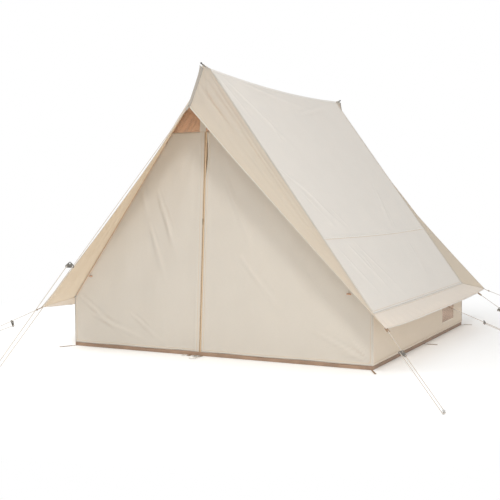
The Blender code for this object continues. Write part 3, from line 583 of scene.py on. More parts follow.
def braid(name, shade):
    """Cord braided from strands that cross both ways round it."""
    finish = Finish(name)
    around, along, _ = finish.axes()
    left = (along * (1 / 0.008) + around * 3.0).wave(1.0)
    right = (along * (1 / 0.008) - around * 3.0).wave(1.0)
    strands = left.larger(right)
    dirt = finish.cloud(finish.place(), 30.0, 3.0)
    plain = finish.mixed(strands, toned(shade, 0.62), toned(shade, 1.12))
    finish.set(
        Base_Color=finish.mixed(dirt.rising(0.5, 0.8) * 0.35, plain, toned(shade, 0.7)),
        Roughness=0.92 - 0.15 * strands,
    )
    finish.bump(strands, 0.0005, 0.8)
    return finish.material


def guy_cord():
    return braid("guy_cord_braid", scene_colours().cord)


def tube_metal():
    """Drawn aluminium with fine lines along the tube and a few rubbed patches."""
    finish = Finish("pole_aluminium")
    shade = scene_colours().tube
    lines = finish.cloud(finish.place("UV", (90.0, 5.0, 1.0)), detail=3.0)
    rubs = finish.cloud(finish.place("UV", (3.0, 9.0, 1.0)), detail=4.0, roughness=0.7)
    finish.set(
        Base_Color=finish.mixed(lines, toned(shade, 0.82), toned(shade, 1.05)),
        Metallic=1.0,
        Roughness=0.24 + 0.18 * lines + 0.18 * rubs.rising(0.5, 0.75),
    )
    finish.bump(lines, 0.0001, 0.4)
    return finish.material


def moulded(name, shade, roughness):
    """Nylon with a fine spark texture, paler where hands rub it."""
    finish = Finish(name)
    grain = finish.cloud(finish.place(), 1500.0, 2.0)
    wear = finish.cloud(finish.place(), 70.0, 4.0, 0.65)
    finish.set(
        Base_Color=finish.mixed(wear.rising(0.5, 0.85), toned(shade, 1.0), toned(shade, 1.9)),
        Roughness=roughness + 0.2 * grain - 0.12 * wear,
    )
    finish.bump(grain, 0.0002, 0.5)
    return finish.material


def hub_plastic():
    return moulded("hub_nylon", scene_colours().plastic, 0.42)


def tensioner_plate():
    return moulded("tensioner_nylon", scene_colours().tensioner, 0.45)


def bar_plastic():
    return moulded("sill_bar_nylon", scene_colours().sill_bar, 0.4)


def worn_metal(name, shade, roughness):
    """Metal with fine scratches in all directions and duller spots."""
    finish = Finish(name)
    scratches = finish.cloud(finish.place("Object", (2600.0, 240.0, 900.0)), detail=2.0)
    spots = finish.cloud(finish.place(), 160.0, 4.0, 0.7)
    finish.set(
        Base_Color=finish.mixed(spots.rising(0.5, 0.8), toned(shade, 1.0), toned(shade, 0.6)),
        Metallic=0.9,
        Roughness=roughness + 0.14 * scratches + 0.25 * spots.rising(0.55, 0.8),
    )
    finish.bump(scratches * 0.5 + spots * 0.5, 0.0001, 0.5)
    return finish.material


def zip_metal():
    return worn_metal("zip_bronze", scene_colours().zip_metal, 0.36)


def peg_steel():
    return worn_metal("peg_bright_steel", scene_colours().steel, 0.26)


def toggle_wood():
    """Oiled hardwood with its grain along the toggle."""
    finish = Finish("toggle_hardwood")
    shade = scene_colours().toggle
    grain = finish.cloud(finish.place("Object", (40.0, 900.0, 900.0)), detail=4.0)
    pores = finish.cloud(finish.place("Object", (160.0, 2400.0, 2400.0)), detail=1.0)
    wood = finish.mixed(grain, toned(shade, 0.55), toned(shade, 1.4))
    finish.set(
        Base_Color=finish.mixed(pores.rising(0.62, 0.8), wood, toned(shade, 0.35)),
        Roughness=0.40 + 0.25 * grain,
    )
    finish.bump(grain - pores * 0.5, 0.0002, 0.6)
    return finish.material


MADE = {}


def material(maker):
    """The material that a maker makes, made once."""
    if maker.__name__ not in MADE:
        MADE[maker.__name__] = maker()
    return MADE[maker.__name__]


# Shaping


def mix(a, b, share):
    """The point or number at that share of the way from a to b."""
    return a + (b - a) * share


def steps(first, last, count):
    return [mix(first, last, i / count) for i in range(count + 1)]


def smooth(value, low=0.0, high=1.0):
    """0 below low, 1 above high, and smooth between them."""
    share = min(1.0, max(0.0, (value - low) / (high - low)))
    return share * share * (3 - 2 * share)


def mesh_of(name, bm, finish):
    """Turns a finished bmesh into a mesh of that material."""
    mesh = bpy.data.meshes.new(name)
    bm.to_mesh(mesh)
    bm.free()
    mesh.materials.append(finish)
    return mesh


def put(name, data):
    """Places a mesh, a lamp or a camera in the scene."""
    thing = bpy.data.objects.new(name, data)
    bpy.context.scene.collection.objects.link(thing)
    return thing


def piece(name, bm, maker, slot, body="shelter", stands_for=(), angle=40):
    """Turns a finished bmesh into a named piece of the tent that moves with a body."""
    mesh = mesh_of(name, bm, material(maker))
    mesh.shade_smooth()
    mesh.set_sharp_from_angle(angle=math.radians(angle))
    thing = put(name, mesh)
    if body:
        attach(thing, body)
    if stands_for:
        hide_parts(*stands_for)
    return thing


def line_place(line, length):
    share, past = line
    return share * length + past


def mesh_lines(length, first=True, last=True, seams=(), grid=None):
    """Where a panel's mesh lines run, as (share, metres past it), with one at each side of a hem.

    Seams are shares of the length where a felled seam starts, with no hem's width between two.
    """
    sizes = scene_sizes()
    start = sizes.hem + HEM_STEP if first else 0.0
    end = sizes.hem + HEM_STEP if last else 0.0
    count = max(2, round(length / (grid or sizes.grid)))
    inner = [(share, start - share * (start + end)) for share in steps(0, 1, count)]
    for seam in seams:
        after = sizes.hem + SEAM_MARGIN
        clear = [line for line in inner
                 if not -SEAM_MARGIN < line_place(line, length) - seam * length < after]
        inner = clear + [(seam, past) for past in (-HEM_STEP, 0, sizes.hem, sizes.hem + HEM_STEP)]
    inner.sort(key=lambda line: line_place(line, length))
    before = [(0, 0), (0, sizes.hem)] if first else []
    after = [(1, -sizes.hem), (1, 0)] if last else []
    return before + inner + after


Panel = namedtuple("Panel", "thing flat area")


def cloth(name, surface, across, along, outward, maker, slot, hems=(), held=(), relief=None,
          seam_across=None, seam_along=None, hole=None, thickness=None, **more):
    """A panel of cloth on surface(b, a), which is its inner side, thickened towards outward.

    The panel's edges are near and far at b 0 and 1, and front and rear at a 0 and 1. Those in hems
    are folded and stitched, and those in held stay where the surface has them, so that relief,
    the height of the creases at (metres across, metres along), dies out there. A felled seam starts
    at the b of seam_across or the a of seam_along, and hole is a box in metres without cloth.
    """
    sizes = scene_sizes()
    outward = Vector(outward).normalized()
    middle = [surface(0.5, a) for a in steps(0, 1, 24)]
    long = length_of(middle)
    bm = bmesh.new()
    columns, rows = len(across) - 1, len(along) - 1
    bmesh.ops.create_grid(bm, x_segments=columns, y_segments=rows, size=0.5)
    edge_of, run_of, fold_shading_of = (number_of(bm, layer) for layer in ("edge", "run", "valley"))
    metres, rise, widest = {}, {}, 0.0
    for vert in bm.verts:
        b_share, b_past = across[round((vert.co.x + 0.5) * columns)]
        a_share, a_past = along[round((vert.co.y + 0.5) * rows)]
        a = min(1.0, max(0.0, a_share + a_past / long))
        wide = (surface(1, a) - surface(0, a)).length
        b = min(1.0, max(0.0, b_share + b_past / wide))
        u, v = b * wide, a * long
        gaps = {"near": u, "far": wide - u, "front": v, "rear": long - v}
        near = {side: gaps[side] for side in hems}
        if seam_across and u > seam_across * wide - 1e-5:
            near["across"] = u - seam_across * wide
        if seam_along and v > seam_along * long - 1e-5:
            near["along"] = v - seam_along * long
        nearest = min(near, key=near.get, default=None)
        edge = near[nearest] if near else 1.0
        height = relief(u, v) * sizes.creases if relief else 0.0
        for side in held:
            height *= smooth(gaps[side], 0.0, HELD_REACH)
        rise[vert.index] = height
        height += sizes.hem_rise * (1 - smooth(edge, sizes.hem, sizes.hem + HEM_STEP))
        vert.co = surface(b, a) + outward * height
        vert[edge_of] = max(0.0, edge)
        vert[run_of] = u if nearest in ("front", "rear", "along") else v
        metres[vert.index] = (u, v)
        widest = max(widest, wide)
    # How far each vertex lies below the relief round it: the canvas paints shade in crease hollows
    # and a highlight on crease ridges from it
    for vert in bm.verts:
        around = [rise[other.other_vert(vert).index] for other in vert.link_edges]
        vert[fold_shading_of] = (sum(around) / len(around) - rise[vert.index]) / FOLD_SHADING_DEPTH
    if hole:
        cut = [face for face in bm.faces if inside(hole, face, metres)]
        bmesh.ops.delete(bm, geom=cut, context="FACES")
    put_metres(bm, metres)
    face_outward(bm, outward)
    area = sum(face.calc_area() for face in bm.faces)
    thing = piece(name, bm, maker, slot, **more)
    solid = thing.modifiers.new("Thickness", "SOLIDIFY")
    solid.thickness = thickness or sizes.canvas
    solid.offset = 1.0
    return Panel(thing, (widest, long), min(area, widest * long))


def inside(hole, face, metres):
    """Whether a face of a panel lies in a ((low, high), (low, high)) box in metres."""
    places = [metres[vert.index] for vert in face.verts]
    middle = [sum(place[axis] for place in places) / len(places) for axis in (0, 1)]
    return all(low < value < high for value, (low, high) in zip(middle, hole))


def with_lines(lines, length, places):
    """The mesh lines with more of them at places in metres, and none too close to those."""
    far = [line for line in lines
           if all(abs(line_place(line, length) - place) > LINE_GAP for place in places)]
    more = [(place / length, 0.0) for place in places]
    return sorted(far + more, key=lambda line: line_place(line, length))


def put_metres(bm, metres):
    """Writes each vertex's place on the cloth into the panel's UVs."""
    layer = metres_of(bm)
    for face in bm.faces:
        for loop in face.loops:
            loop[layer].uv = metres[loop.vert.index]


def number_of(bm, name):
    """The layer that holds a number for each vertex under that name."""
    return bm.verts.layers.float.get(name) or bm.verts.layers.float.new(name)


def metres_of(bm):
    """The UV layer that holds the metres across and along a piece."""
    return bm.loops.layers.uv.get("metres") or bm.loops.layers.uv.new("metres")


def face_outward(bm, outward):
    bmesh.ops.recalc_face_normals(bm, faces=bm.faces)
    if sum(face.normal.dot(outward) * face.calc_area() for face in bm.faces) < 0:
        bmesh.ops.reverse_faces(bm, faces=bm.faces)


def declare(panel):
    """Gives back the panel's piece."""
    return panel.thing


def crease(start, end, width, depth):
    """A long crease between two places on a panel, in metres; below zero it is a groove."""
    start, end = Vector(start), Vector(end)
    line = end - start
    long = line.length
    line.normalize()
    side = Vector((-line.y, line.x))

    def height(u, v):
        from_start = Vector((u, v)) - start
        share = from_start.dot(line) / long
        if not 0 < share < 1:
            return 0.0
        away = abs(from_start.dot(side)) / (CREASE_SPREAD * width * (0.6 + 0.8 * share))
        if away > 3:
            return 0.0
        return 2 * depth * math.sin(math.pi * share ** 0.6) * math.exp(-away * away)

    return height


def rumple(seed, across, along, depth):
    """Uneven small waves, across and along metres apart."""
    def height(u, v):
        where = Vector((u / across + seed * 7.3, v / along - seed * 3.1, seed))
        return depth * noise.noise(where)

    return height


def heights(*parts):
    return lambda u, v: sum(part(u, v) for part in parts)


def frames_along(points, facing=None):
    """A transform at each point: Z along the line, and Y where it faces."""
    points = [Vector(point) for point in points]
    frames, across = [], None
    for i, point in enumerate(points):
        line = (points[min(i + 1, len(points) - 1)] - points[max(i - 1, 0)]).normalized()
        if facing:
            across = Vector(facing[i]).cross(line).normalized()
        elif across is None:
            across = line.orthogonal().normalized()
        else:
            across = (across - line * across.dot(line)).normalized()
        turn = Matrix((across, line.cross(across), line)).transposed().to_4x4()
        frames.append(Matrix.Translation(point) @ turn)
    return frames


def length_of(points):
    return sum((b - a).length for a, b in zip(points, points[1:]))


def sweep(bm, section, frames, sides=None, closed=False):
    """Draws a closed outline of (x, y) points along frames, with UVs of metres across and along.

    For a round cord, sides is the number of points round it, and the first UV is a share of a turn.
    """
    mark = bm.verts.layers.int.get("mark") or bm.verts.layers.int.new("mark")
    reach, uv = number_of(bm, "reach"), metres_of(bm)
    ring = []
    for number, (x, y) in enumerate(section):
        vert = bm.verts.new(frames[0] @ Vector((x, y, 0)))
        vert[mark] = number
        ring.append(vert)
    edges = [bm.edges.new((ring[k - 1], ring[k])) for k in range(len(ring))]
    first, every, gone = list(edges), list(ring), 0.0
    for before, place in zip(frames, frames[1:]):
        gone += (place.translation - before.translation).length
        grown = bmesh.ops.extrude_edge_only(bm, edges=edges)["geom"]
        fresh = {part for part in grown if isinstance(part, bmesh.types.BMVert)}
        for vert in fresh:
            x, y = section[vert[mark]]
            vert.co = place @ Vector((x, y, 0))
            vert[reach] = gone
        edges = list({e for vert in fresh for e in vert.link_edges if e.other_vert(vert) in fresh})
        every += fresh
    if closed:
        bmesh.ops.bridge_loops(bm, edges=first + edges)
    else:
        bmesh.ops.edgeloop_fill(bm, edges=first)
        bmesh.ops.edgeloop_fill(bm, edges=edges)
    faces = list({face for vert in every for face in vert.link_faces})
    bmesh.ops.recalc_face_normals(bm, faces=faces)
    for face in faces:
        turns = [loop.vert[mark] / sides if sides else section[loop.vert[mark]][0]
                 for loop in face.loops]
        wraps = sides and max(turns) - min(turns) > 0.5
        for loop, turn in zip(face.loops, turns):
            loop[uv].uv = (turn + 1 if wraps and turn < 0.5 else turn, loop.vert[reach])
    return every


def circle(radius, sides):
    return [(radius * math.cos(math.tau * k / sides), radius * math.sin(math.tau * k / sides))
            for k in range(sides)]


def tube(bm, points, radius, sides=10, closed=False):
    """A round cord or wire along points."""
    return sweep(bm, circle(radius, sides), frames_along(points), sides, closed)


def ribbon(bm, points, facing, width, thickness):
    """A flat strip along points, with rounded edges, that faces one way or each of several."""
    half, edge = width / 2, thickness * 0.35
    if isinstance(facing, Vector):
        facing = [facing] * len(points)
    section = [
        (-half, edge), (-half + edge, 0), (half - edge, 0), (half, edge),
        (half, thickness - edge), (half - edge, thickness), (-half + edge, thickness),
        (-half, thickness - edge),
    ]
    return sweep(bm, section, frames_along(points, facing))


def turned(bm, profile, place, sides=24):
    """A body turned round Z from (radius, height) points, with UVs round and along it."""
    reach, uv = number_of(bm, "reach"), metres_of(bm)
    before = set(bm.verts)
    verts, gone = [], 0.0
    for number, (radius, height) in enumerate(profile):
        vert = bm.verts.new((radius, 0.0, height))
        if number:
            gone += (vert.co - verts[-1].co).length
        vert[reach] = gone
        verts.append(vert)
    edges = [bm.edges.new(pair) for pair in zip(verts, verts[1:])]
    bmesh.ops.spin(
        bm, geom=verts + edges, cent=(0, 0, 0), axis=(0, 0, 1), angle=math.tau, steps=sides,
        use_merge=True,
    )
    made = [vert for vert in bm.verts if vert not in before]
    bmesh.ops.remove_doubles(bm, verts=made, dist=1e-6)
    made = [vert for vert in bm.verts if vert not in before]
    faces = list({face for vert in made for face in vert.link_faces})
    bmesh.ops.recalc_face_normals(bm, faces=faces)
    for face in faces:
        centre = face.calc_center_median()
        whole = math.atan2(centre.y, centre.x)
        for loop in face.loops:
            spot = loop.vert.co
            turn = math.atan2(spot.y, spot.x) - whole
            turn = (turn + math.pi) % math.tau - math.pi if spot.xy.length > 1e-6 else 0.0
            loop[uv].uv = ((whole + turn) / math.tau, loop.vert[reach])
    bmesh.ops.transform(bm, matrix=place, verts=made)
    return made


def pointing(place, direction):
    """The transform that puts the origin at place and turns Z along direction."""
    turn = Vector(direction).to_track_quat("Z", "Y").to_matrix().to_4x4()
    return Matrix.Translation(place) @ turn


def both_sides(right):
    """The closed outline whose right side runs through those points."""
    return right + [(-x, y) for x, y in reversed(right)]


def plate(bm, outline, depth, place, holes=(), rounding=0.0004, segments=2):
    """A flat plate of that outline with round (x, y, radius) holes, its edges rounded over."""
    before = set(bm.verts)
    loops = [outline] + [
        [(x + cx, y + cy) for cx, cy in circle(radius, 12)] for x, y, radius in holes
    ]
    rims = []
    for loop in loops:
        verts = [bm.verts.new((x, y, -depth / 2)) for x, y in loop]
        rims += [bm.edges.new((verts[k - 1], verts[k])) for k in range(len(verts))]
    filled = bmesh.ops.triangle_fill(bm, edges=rims, use_beauty=True)["geom"]
    faces = [part for part in filled if isinstance(part, bmesh.types.BMFace)]
    grown = bmesh.ops.extrude_face_region(bm, geom=faces)["geom"]
    lifted = [part for part in grown if isinstance(part, bmesh.types.BMVert)]
    bmesh.ops.translate(bm, verts=lifted, vec=(0, 0, depth))
    round_off(bm, before, rounding, segments)
    made = [vert for vert in bm.verts if vert not in before]
    bmesh.ops.transform(bm, matrix=place, verts=made)
    return made


def round_off(bm, before, rounding, segments):
    """Rounds every real edge that was made since before."""
    made = [vert for vert in bm.verts if vert not in before]
    faces = list({face for vert in made for face in vert.link_faces})
    bmesh.ops.recalc_face_normals(bm, faces=faces)
    edges = list({edge for face in faces for edge in face.edges})
    sharp = [edge for edge in edges if len(edge.link_faces) == 2 and edge.calc_face_angle() > 0.5]
    bmesh.ops.bevel(
        bm, geom=sharp, offset=rounding, offset_type="OFFSET", segments=segments, profile=0.5,
        affect="EDGES", material=-1, clamp_overlap=True,
    )


def block(bm, low, high, rounding, place):
    """A box between two corners with its edges rounded over."""
    low, high = Vector(low), Vector(high)
    before = set(bm.verts)
    shape = Matrix.Translation((low + high) / 2) @ Matrix.Diagonal((*(high - low), 1.0))
    bmesh.ops.create_cube(bm, size=1.0, matrix=shape)
    round_off(bm, before, rounding, 1)
    made = [vert for vert in bm.verts if vert not in before]
    bmesh.ops.transform(bm, matrix=place, verts=made)


# The lines of the pitched tent


def ridge_height(y):
    return PEAK_HEIGHT - RIDGE_SAG * (1 - (y / HALF_LENGTH) ** 2)


def roof_half_width(z):
    return min(HALF_WIDTH, HALF_WIDTH * (PEAK_HEIGHT - z) / (PEAK_HEIGHT - WALL_HEIGHT))


def zip_x(z):
    return ZIP_FOOT_X + ZIP_LEAN * z


def turned_to(point, side, end):
    """A point of the right rear corner, moved to another corner."""
    return Vector((side * point.x, end * point.y, point.z))


def peak(end):
    return Vector((0, end * HALF_LENGTH, PEAK_HEIGHT))


def eave_seam_end(side, end):
    return Vector((side * HALF_WIDTH, end * HALF_LENGTH, WALL_HEIGHT))


def roof_surface(side):
    """b runs from the ridge to the eave seam, and a from the front to the rear."""
    def at(b, a):
        y = mix(-HALF_LENGTH, HALF_LENGTH, a)
        ridge = Vector((0, y, ridge_height(y)))
        return mix(ridge, Vector((side * HALF_WIDTH, y, WALL_HEIGHT)), b)

    return at


def hood_outward(side, end):
    down = eave_seam_end(side, end) - peak(end)
    facing = down.cross(turned_to(HOOD_TIP, 0, end) - peak(end)).normalized()
    return facing if facing.z > 0 else -facing


def hood_surface(side, end):
    """b runs from the roof seam to the free edge, and a from the peak down to the eave."""
    def at(b, a):
        tip = turned_to(HOOD_TIP, 0, end)
        if a < HOOD_TIP_ROW:
            share = a / HOOD_TIP_ROW
            seam = HOOD_TIP_SEAM * share
            free = mix(turned_to(HOOD_PEAK + HOOD_PULL, 0, end), tip, share)
        else:
            share = (a - HOOD_TIP_ROW) / (1 - HOOD_TIP_ROW)
            seam = mix(HOOD_TIP_SEAM, 1, share)
            free = mix(tip, turned_to(EAVE_CORNER, side, end), share)
            free.z -= HOOD_EDGE_SAG[side] * 4 * share * (1 - share)
        return mix(mix(peak(end), eave_seam_end(side, end), seam), free, b)

    return at


def valance_surface(side):
    """b runs from the eave seam to the hem, and a from the front to the rear."""
    def at(b, a):
        share = 2 * a - 1
        seam = Vector((side * HALF_WIDTH, share * HALF_LENGTH, WALL_HEIGHT))
        free = turned_to(EAVE_CORNER, side, share)
        free.z -= VALANCE_SAG * (1 - share ** 4)
        return mix(seam, free, b)

    return at


def end_edge(z):
    """Half the width of an end wall at height z, under the roof."""
    return min(HALF_WIDTH - WALL_INSET, roof_half_width(z) - WALL_GAP)


def hinge_x(side, z):
    """A door flap folds about the line from the head of the zip to the foot of the wall."""
    foot = side * (HALF_WIDTH - WALL_INSET - DOOR_FOOT_MARGIN)
    head = zip_x(DOOR_TOP) + side * DOOR_HEAD_WIDTH
    return mix(foot, head, (z - SKIRT_HEIGHT) / (DOOR_TOP - SKIRT_HEIGHT))


GuySpot = namedtuple("GuySpot", "name side hem peg")


def guy_spots():
    """Every place where a guyline can be tied: the middle of its tab on the hem, and its peg."""
    spots = []
    for end, name in ((-1, "front"), (1, "rear")):
        tip = turned_to(HOOD_TIP, 0, end)
        spots.append(GuySpot(name, 0, tip, Vector((0, tip.y + end * TIP_PEG_REACH, 0))))
    half = TAB_WIDTH / 2 / EAVE_CORNER.y
    for name, (side, share, out, along) in EAVE_GUYS.items():
        middle = min(max(share, half - 1), 1 - half)
        hem = valance_surface(side)(1, (middle + 1) / 2)
        peg = Vector((hem.x + side * out, hem.y + along, 0))
        spots.append(GuySpot(name, side, hem, peg))
    return spots


def guy_spot(name):
    return next(spot for spot in guy_spots() if spot.name == name)


def level_side(direction):
    return UP.cross(direction).normalized()


def tab_frame(spot):
    """The transform of a tab: X along the pull, Y level across it, and the hem at the origin."""
    pull = (spot.peg - spot.hem).normalized()
    across = level_side(pull)
    turn = Matrix((pull, across, pull.cross(across))).transposed().to_4x4()
    return Matrix.Translation(spot.hem) @ turn


def guyline_frame(name):
    """A guyline's start at its tab, the middle of its loop at the peg, its pull and level side."""
    spot = guy_spot(name)
    start = tab_frame(spot) @ Vector((TAB_LENGTH + CORD / 2, 0, scene_sizes().canvas / 2))
    loop = Vector((spot.peg.x, spot.peg.y, LOOP_HEIGHT))
    pull = (loop - start).normalized()
    return start, loop, pull, level_side(pull)


def slider_place(name):
    """The middle of a plate's first hole, on the guyline, and the guyline's direction there."""
    start, loop, _, across = guyline_frame(name)
    foot = loop + across * LOOP_RADIUS
    return mix(start, foot, GUYLINES[name][0]), (foot - start).normalized()


def slider_frame(name):
    """The transform of a plate before it tips: Z down the guyline, and its second hole at -X."""
    place, line = slider_place(name)
    across = level_side(line)
    turn = Matrix((across, line.cross(across), line)).transposed().to_4x4()
    roll = Matrix.Rotation(math.radians(GUYLINES[name][1]), 4, "Z")
    return Matrix.Translation(place) @ turn @ roll


def slider_knot(name):
    """Where the cord ends in a knot, just below the plate's second hole."""
    return slider_frame(name) @ Vector((-HOLE_SPACING, 0, -2 * PLATE_THICKNESS))


# Pieces of the tent


def make_stage():
    """The floor, the sky, the lamps and the camera."""
    studio = bpy.context.scene.tent_studio
    make_floor()
    make_sky(studio.sky)
    for name, width, place, aim in LAMPS:
        make_lamp(f"{name}_lamp", getattr(studio, name), width, place, aim)
    make_camera(studio.lens)


def make_floor():
    """A pale floor that fades to plain white away from the tent."""
    finish = Finish("studio_floor")
    finish.set(Base_Color=tuple(scene_colours().floor), Roughness=0.9)
    x, y, _ = finish.axes("Object")
    away = (x * x + y * y).sum("SQRT").rising(*FLOOR_FADE)
    finish.mix_in(away * seen_directly(finish), "ShaderNodeEmission", (1.0, 1.0, 1.0))
    bm = bmesh.new()
    bmesh.ops.create_grid(bm, x_segments=1, y_segments=1, size=FLOOR_REACH)
    bmesh.ops.translate(bm, verts=bm.verts, vec=(0, 0, -FLOOR_DROP))
    put("studio_floor", mesh_of("studio_floor", bm, finish.material))


def make_camera(focal_length):
    lens = bpy.data.cameras.new("photo_camera")
    lens.sensor_width = SENSOR_WIDTH
    lens.lens = focal_length
    camera = put("photo_camera", lens)
    place = Matrix.Translation(CAMERA_PLACE)
    for axis, degrees in CAMERA_TURNS:
        place @= Matrix.Rotation(math.radians(degrees), 4, axis)
    camera.matrix_world = place
    bpy.context.scene.camera = camera


def seen_directly(finish):
    """1 for rays from the camera, from metal and through glass, and 0 for light on the tent."""
    path = finish.node("ShaderNodeLightPath").outputs
    camera, glossy, through = (
        Number(finish, path[name])
        for name in ("Is Camera Ray", "Is Glossy Ray", "Is Transmission Ray")
    )
    return camera.larger(glossy).larger(through)


def make_sky(strength):
    """An even sky that looks white and gives the tent light of that strength."""
    sky = Finish("studio_sky", "worlds", "Background")
    sky.set(Color=(1.0, 1.0, 1.0), Strength=seen_directly(sky) * (1.0 - strength) + strength)
    bpy.context.scene.world = sky.material


def make_lamp(name, power, width, place, aim):
    light = bpy.data.lights.new(name, "AREA")
    light.shape = "SQUARE"
    light.size = width
    light.energy = power
    lamp = put(name, light)
    lamp.matrix_world = pointing(Vector(place), Vector(place) - Vector(aim))


def trefoil(place, scale, count=36):
    """The line of a tight overhand knot."""
    return [
        place @ (Vector((
            math.sin(t) + 2 * math.sin(2 * t),
            math.cos(t) - 2 * math.cos(2 * t),
            -1.5 * math.sin(3 * t),
        )) * scale)
        for t in steps(0, math.tau * (1 - 1 / count), count - 1)
    ]


def arc(centre, first, second, radius, start, end, count):
    """Points round centre from first towards second, two directions square to each other."""
    return [
        centre + (first * math.cos(angle) + second * math.sin(angle)) * radius
        for angle in steps(start, end, count)
    ]


def ring(bm, centre, first, second, ring_radius, radius, count):
    """A closed ring of cord or wire, whose last point stops short of its first."""
    tube(bm, arc(centre, first, second, ring_radius, 0, RING_TURN, count), radius, 8, True)


def knot(bm, place, pull, scale):
    """A tight knot, where the cord is drawn thin."""
    tube(bm, trefoil(pointing(place, pull), scale), KNOT_CORD, 8, True)


def make_guylines():
    """Each cord runs from its tab through the plate and round the peg, and back to the plate."""
    for name in GUYLINES:
        start, loop, pull, across = guyline_frame(name)
        bend = arc(loop, across, pull, LOOP_RADIUS, 0, math.pi, 14)
        main = [mix(start, bend[0], share) for share in steps(0, 1, 30)] + bend[1:]
        bm = bmesh.new()
        tube(bm, main, CORD / 2)
        strand = piece(
            f"guyline_{name}_strand", bm, guy_cord, "guy_cord", stands_for=[f"guyline_{name}"]
        )
        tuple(start)
        length_of(main)
        make_tab_knot(name, start, pull)
        end = slider_knot(name)
        back = [mix(bend[-1], end, share) for share in steps(0, 1, 16)]
        bm = bmesh.new()
        tube(bm, back, CORD / 2)
        returning = piece(
            f"guyline_{name}_return", bm, guy_cord, "guy_cord", stands_for=[f"guyline_{name}"]
        )
        line = slider_place(name)[1]
        -line
        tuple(bend[-1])
        1 - TENSIONER_TRAVEL / (bend[-1] - end).dot(line)
        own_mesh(returning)
        bm = bmesh.new()
        knot(bm, end, pull, 0.0015)
        stopper = piece(
            f"guyline_{name}_end_knot", bm, guy_cord, "guy_cord", body=f"{name}_tensioner"
        )
        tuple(bend[-1])
        length_of(back)


def make_tab_knot(name, start, pull):
    """The cord's ring through the hole of its tab, and the knot that closes it."""
    tab = on_tab(guy_spot(name))
    turn = tab.to_3x3()
    bm = bmesh.new()
    centre = tab @ Vector((TAB_RING_PLACE, 0, 0))
    ring(bm, centre, turn.col[0], turn.col[2], TAB_RING, KNOT_CORD, 20)
    knot(bm, start + pull * 0.003, pull, 0.0013)
    return piece(f"guyline_{name}_tab_knot", bm, guy_cord, "guy_cord")


def make_tensioners():
    """Plates with three holes that slide along the guylines."""
    middle = -HOLE_SPACING / 2
    outline = [
        (0.009, -0.002), (0.0085, -0.0055), (0.007, -0.008), (middle, -0.009),
        (-HOLE_SPACING - 0.007, -0.008), (-HOLE_SPACING - 0.0085, -0.0055),
        (-HOLE_SPACING - 0.009, -0.002), (-HOLE_SPACING - 0.0085, 0.003),
        (-HOLE_SPACING - 0.006, 0.006), (middle - 0.007, 0.021), (middle - 0.004, 0.0233),
        (middle, 0.024), (middle + 0.004, 0.0233), (middle + 0.007, 0.021),
        (0.006, 0.006), (0.0085, 0.003),
    ]
    holes = [(x, y, HOLE_RADIUS) for x, y in ((0, 0), (-HOLE_SPACING, 0), (middle, 0.015))]
    tip = Matrix.Rotation(-PLATE_TILT, 4, "X")
    for name in GUYLINES:
        bm = bmesh.new()
        plate(bm, outline, PLATE_THICKNESS, slider_frame(name) @ tip, holes, 0.0006, 3)
        piece(
            f"tensioner_{name}", bm, tensioner_plate, "tensioner", body=f"{name}_tensioner",
            stands_for=[f"slider_{name}"],
        )


def cut_level(bm, height):
    """Cuts off what is below height and closes it flat there."""
    geometry = bm.verts[:] + bm.edges[:] + bm.faces[:]
    cut = bmesh.ops.bisect_plane(
        bm, geom=geometry, plane_co=(0, 0, height), plane_no=(0, 0, 1), clear_inner=True
    )["geom_cut"]
    rims = [edge for edge in cut if isinstance(edge, bmesh.types.BMEdge)]
    bmesh.ops.edgeloop_fill(bm, edges=rims)
    bmesh.ops.recalc_face_normals(bm, faces=bm.faces)


def make_pegs():
    """Steel pegs, square to their guylines, driven in up to the head."""
    profile = [
        (0, -0.03), (0.0045, -0.03), (0.0045, 0.0082), (0.0050, 0.0088), (0.0078, 0.0090),
        (0.0085, 0.0097), (0.0085, 0.0120), (0.0078, 0.0128), (0.0040, 0.0130), (0, 0.0130),
    ]
    for name in GUYLINES:
        _, loop, pull, _ = guyline_frame(name)
        away = Vector((pull.x, pull.y, 0)).normalized()
        axis = away * -pull.z + UP * pull.dot(away)
        bm = bmesh.new()
        turned(bm, profile, pointing(loop, axis.normalized()), 28)
        cut_level(bm, GROUND_GAP)
        piece(f"peg_{name}_steel", bm, peg_steel, "peg_steel", stands_for=[f"peg_{name}"])


ROOF_CREASES = (
    # start and end as (down the slope, back from the front), width, depth
    ((0.043, 0.125), (0.657, 0.656), 0.016, 0.0050),
    ((0.010, 0.220), (0.187, 1.713), 0.014, 0.0036),
    ((0.041, 0.027), (0.511, 0.195), 0.012, 0.0034),
    ((0.308, 0.441), (0.668, 0.461), 0.010, 0.0024),
    ((0.900, 0.159), (1.425, 0.596), 0.015, 0.0042),
    ((1.026, 0.159), (1.416, 0.409), 0.012, 0.0030),
    ((0.821, 0.018), (1.196, 0.455), 0.012, 0.0032),
    ((1.153, 0.518), (1.392, 0.648), 0.010, 0.0026),
    ((1.448, 0.361), (1.973, 0.630), 0.013, 0.0036),
    ((1.438, 0.513), (2.004, 0.862), 0.013, 0.0036),
    ((1.477, 0.130), (1.990, 0.390), 0.012, 0.0032),
    ((1.540, 0.512), (1.837, 0.538), 0.009, 0.0022),
    ((0.902, 1.847), (1.427, 1.518), 0.014, 0.0036),
    ((1.162, 1.734), (1.430, 1.592), 0.010, 0.0026),
    ((1.464, 1.716), (1.939, 1.532), 0.013, 0.0032),
    ((1.516, 1.756), (1.802, 1.613), 0.010, 0.0026),
    ((0.218, 1.247), (0.038, 2.235), 0.014, 0.0034),
)


def hollow(wide, long, depth):
    """The slack of a panel between its seams."""
    def height(u, v):
        across = math.sin(math.pi * min(1.0, max(0.0, u / wide)))
        return -depth * across * math.sin(math.pi * min(1.0, max(0.0, v / long)))

    return height


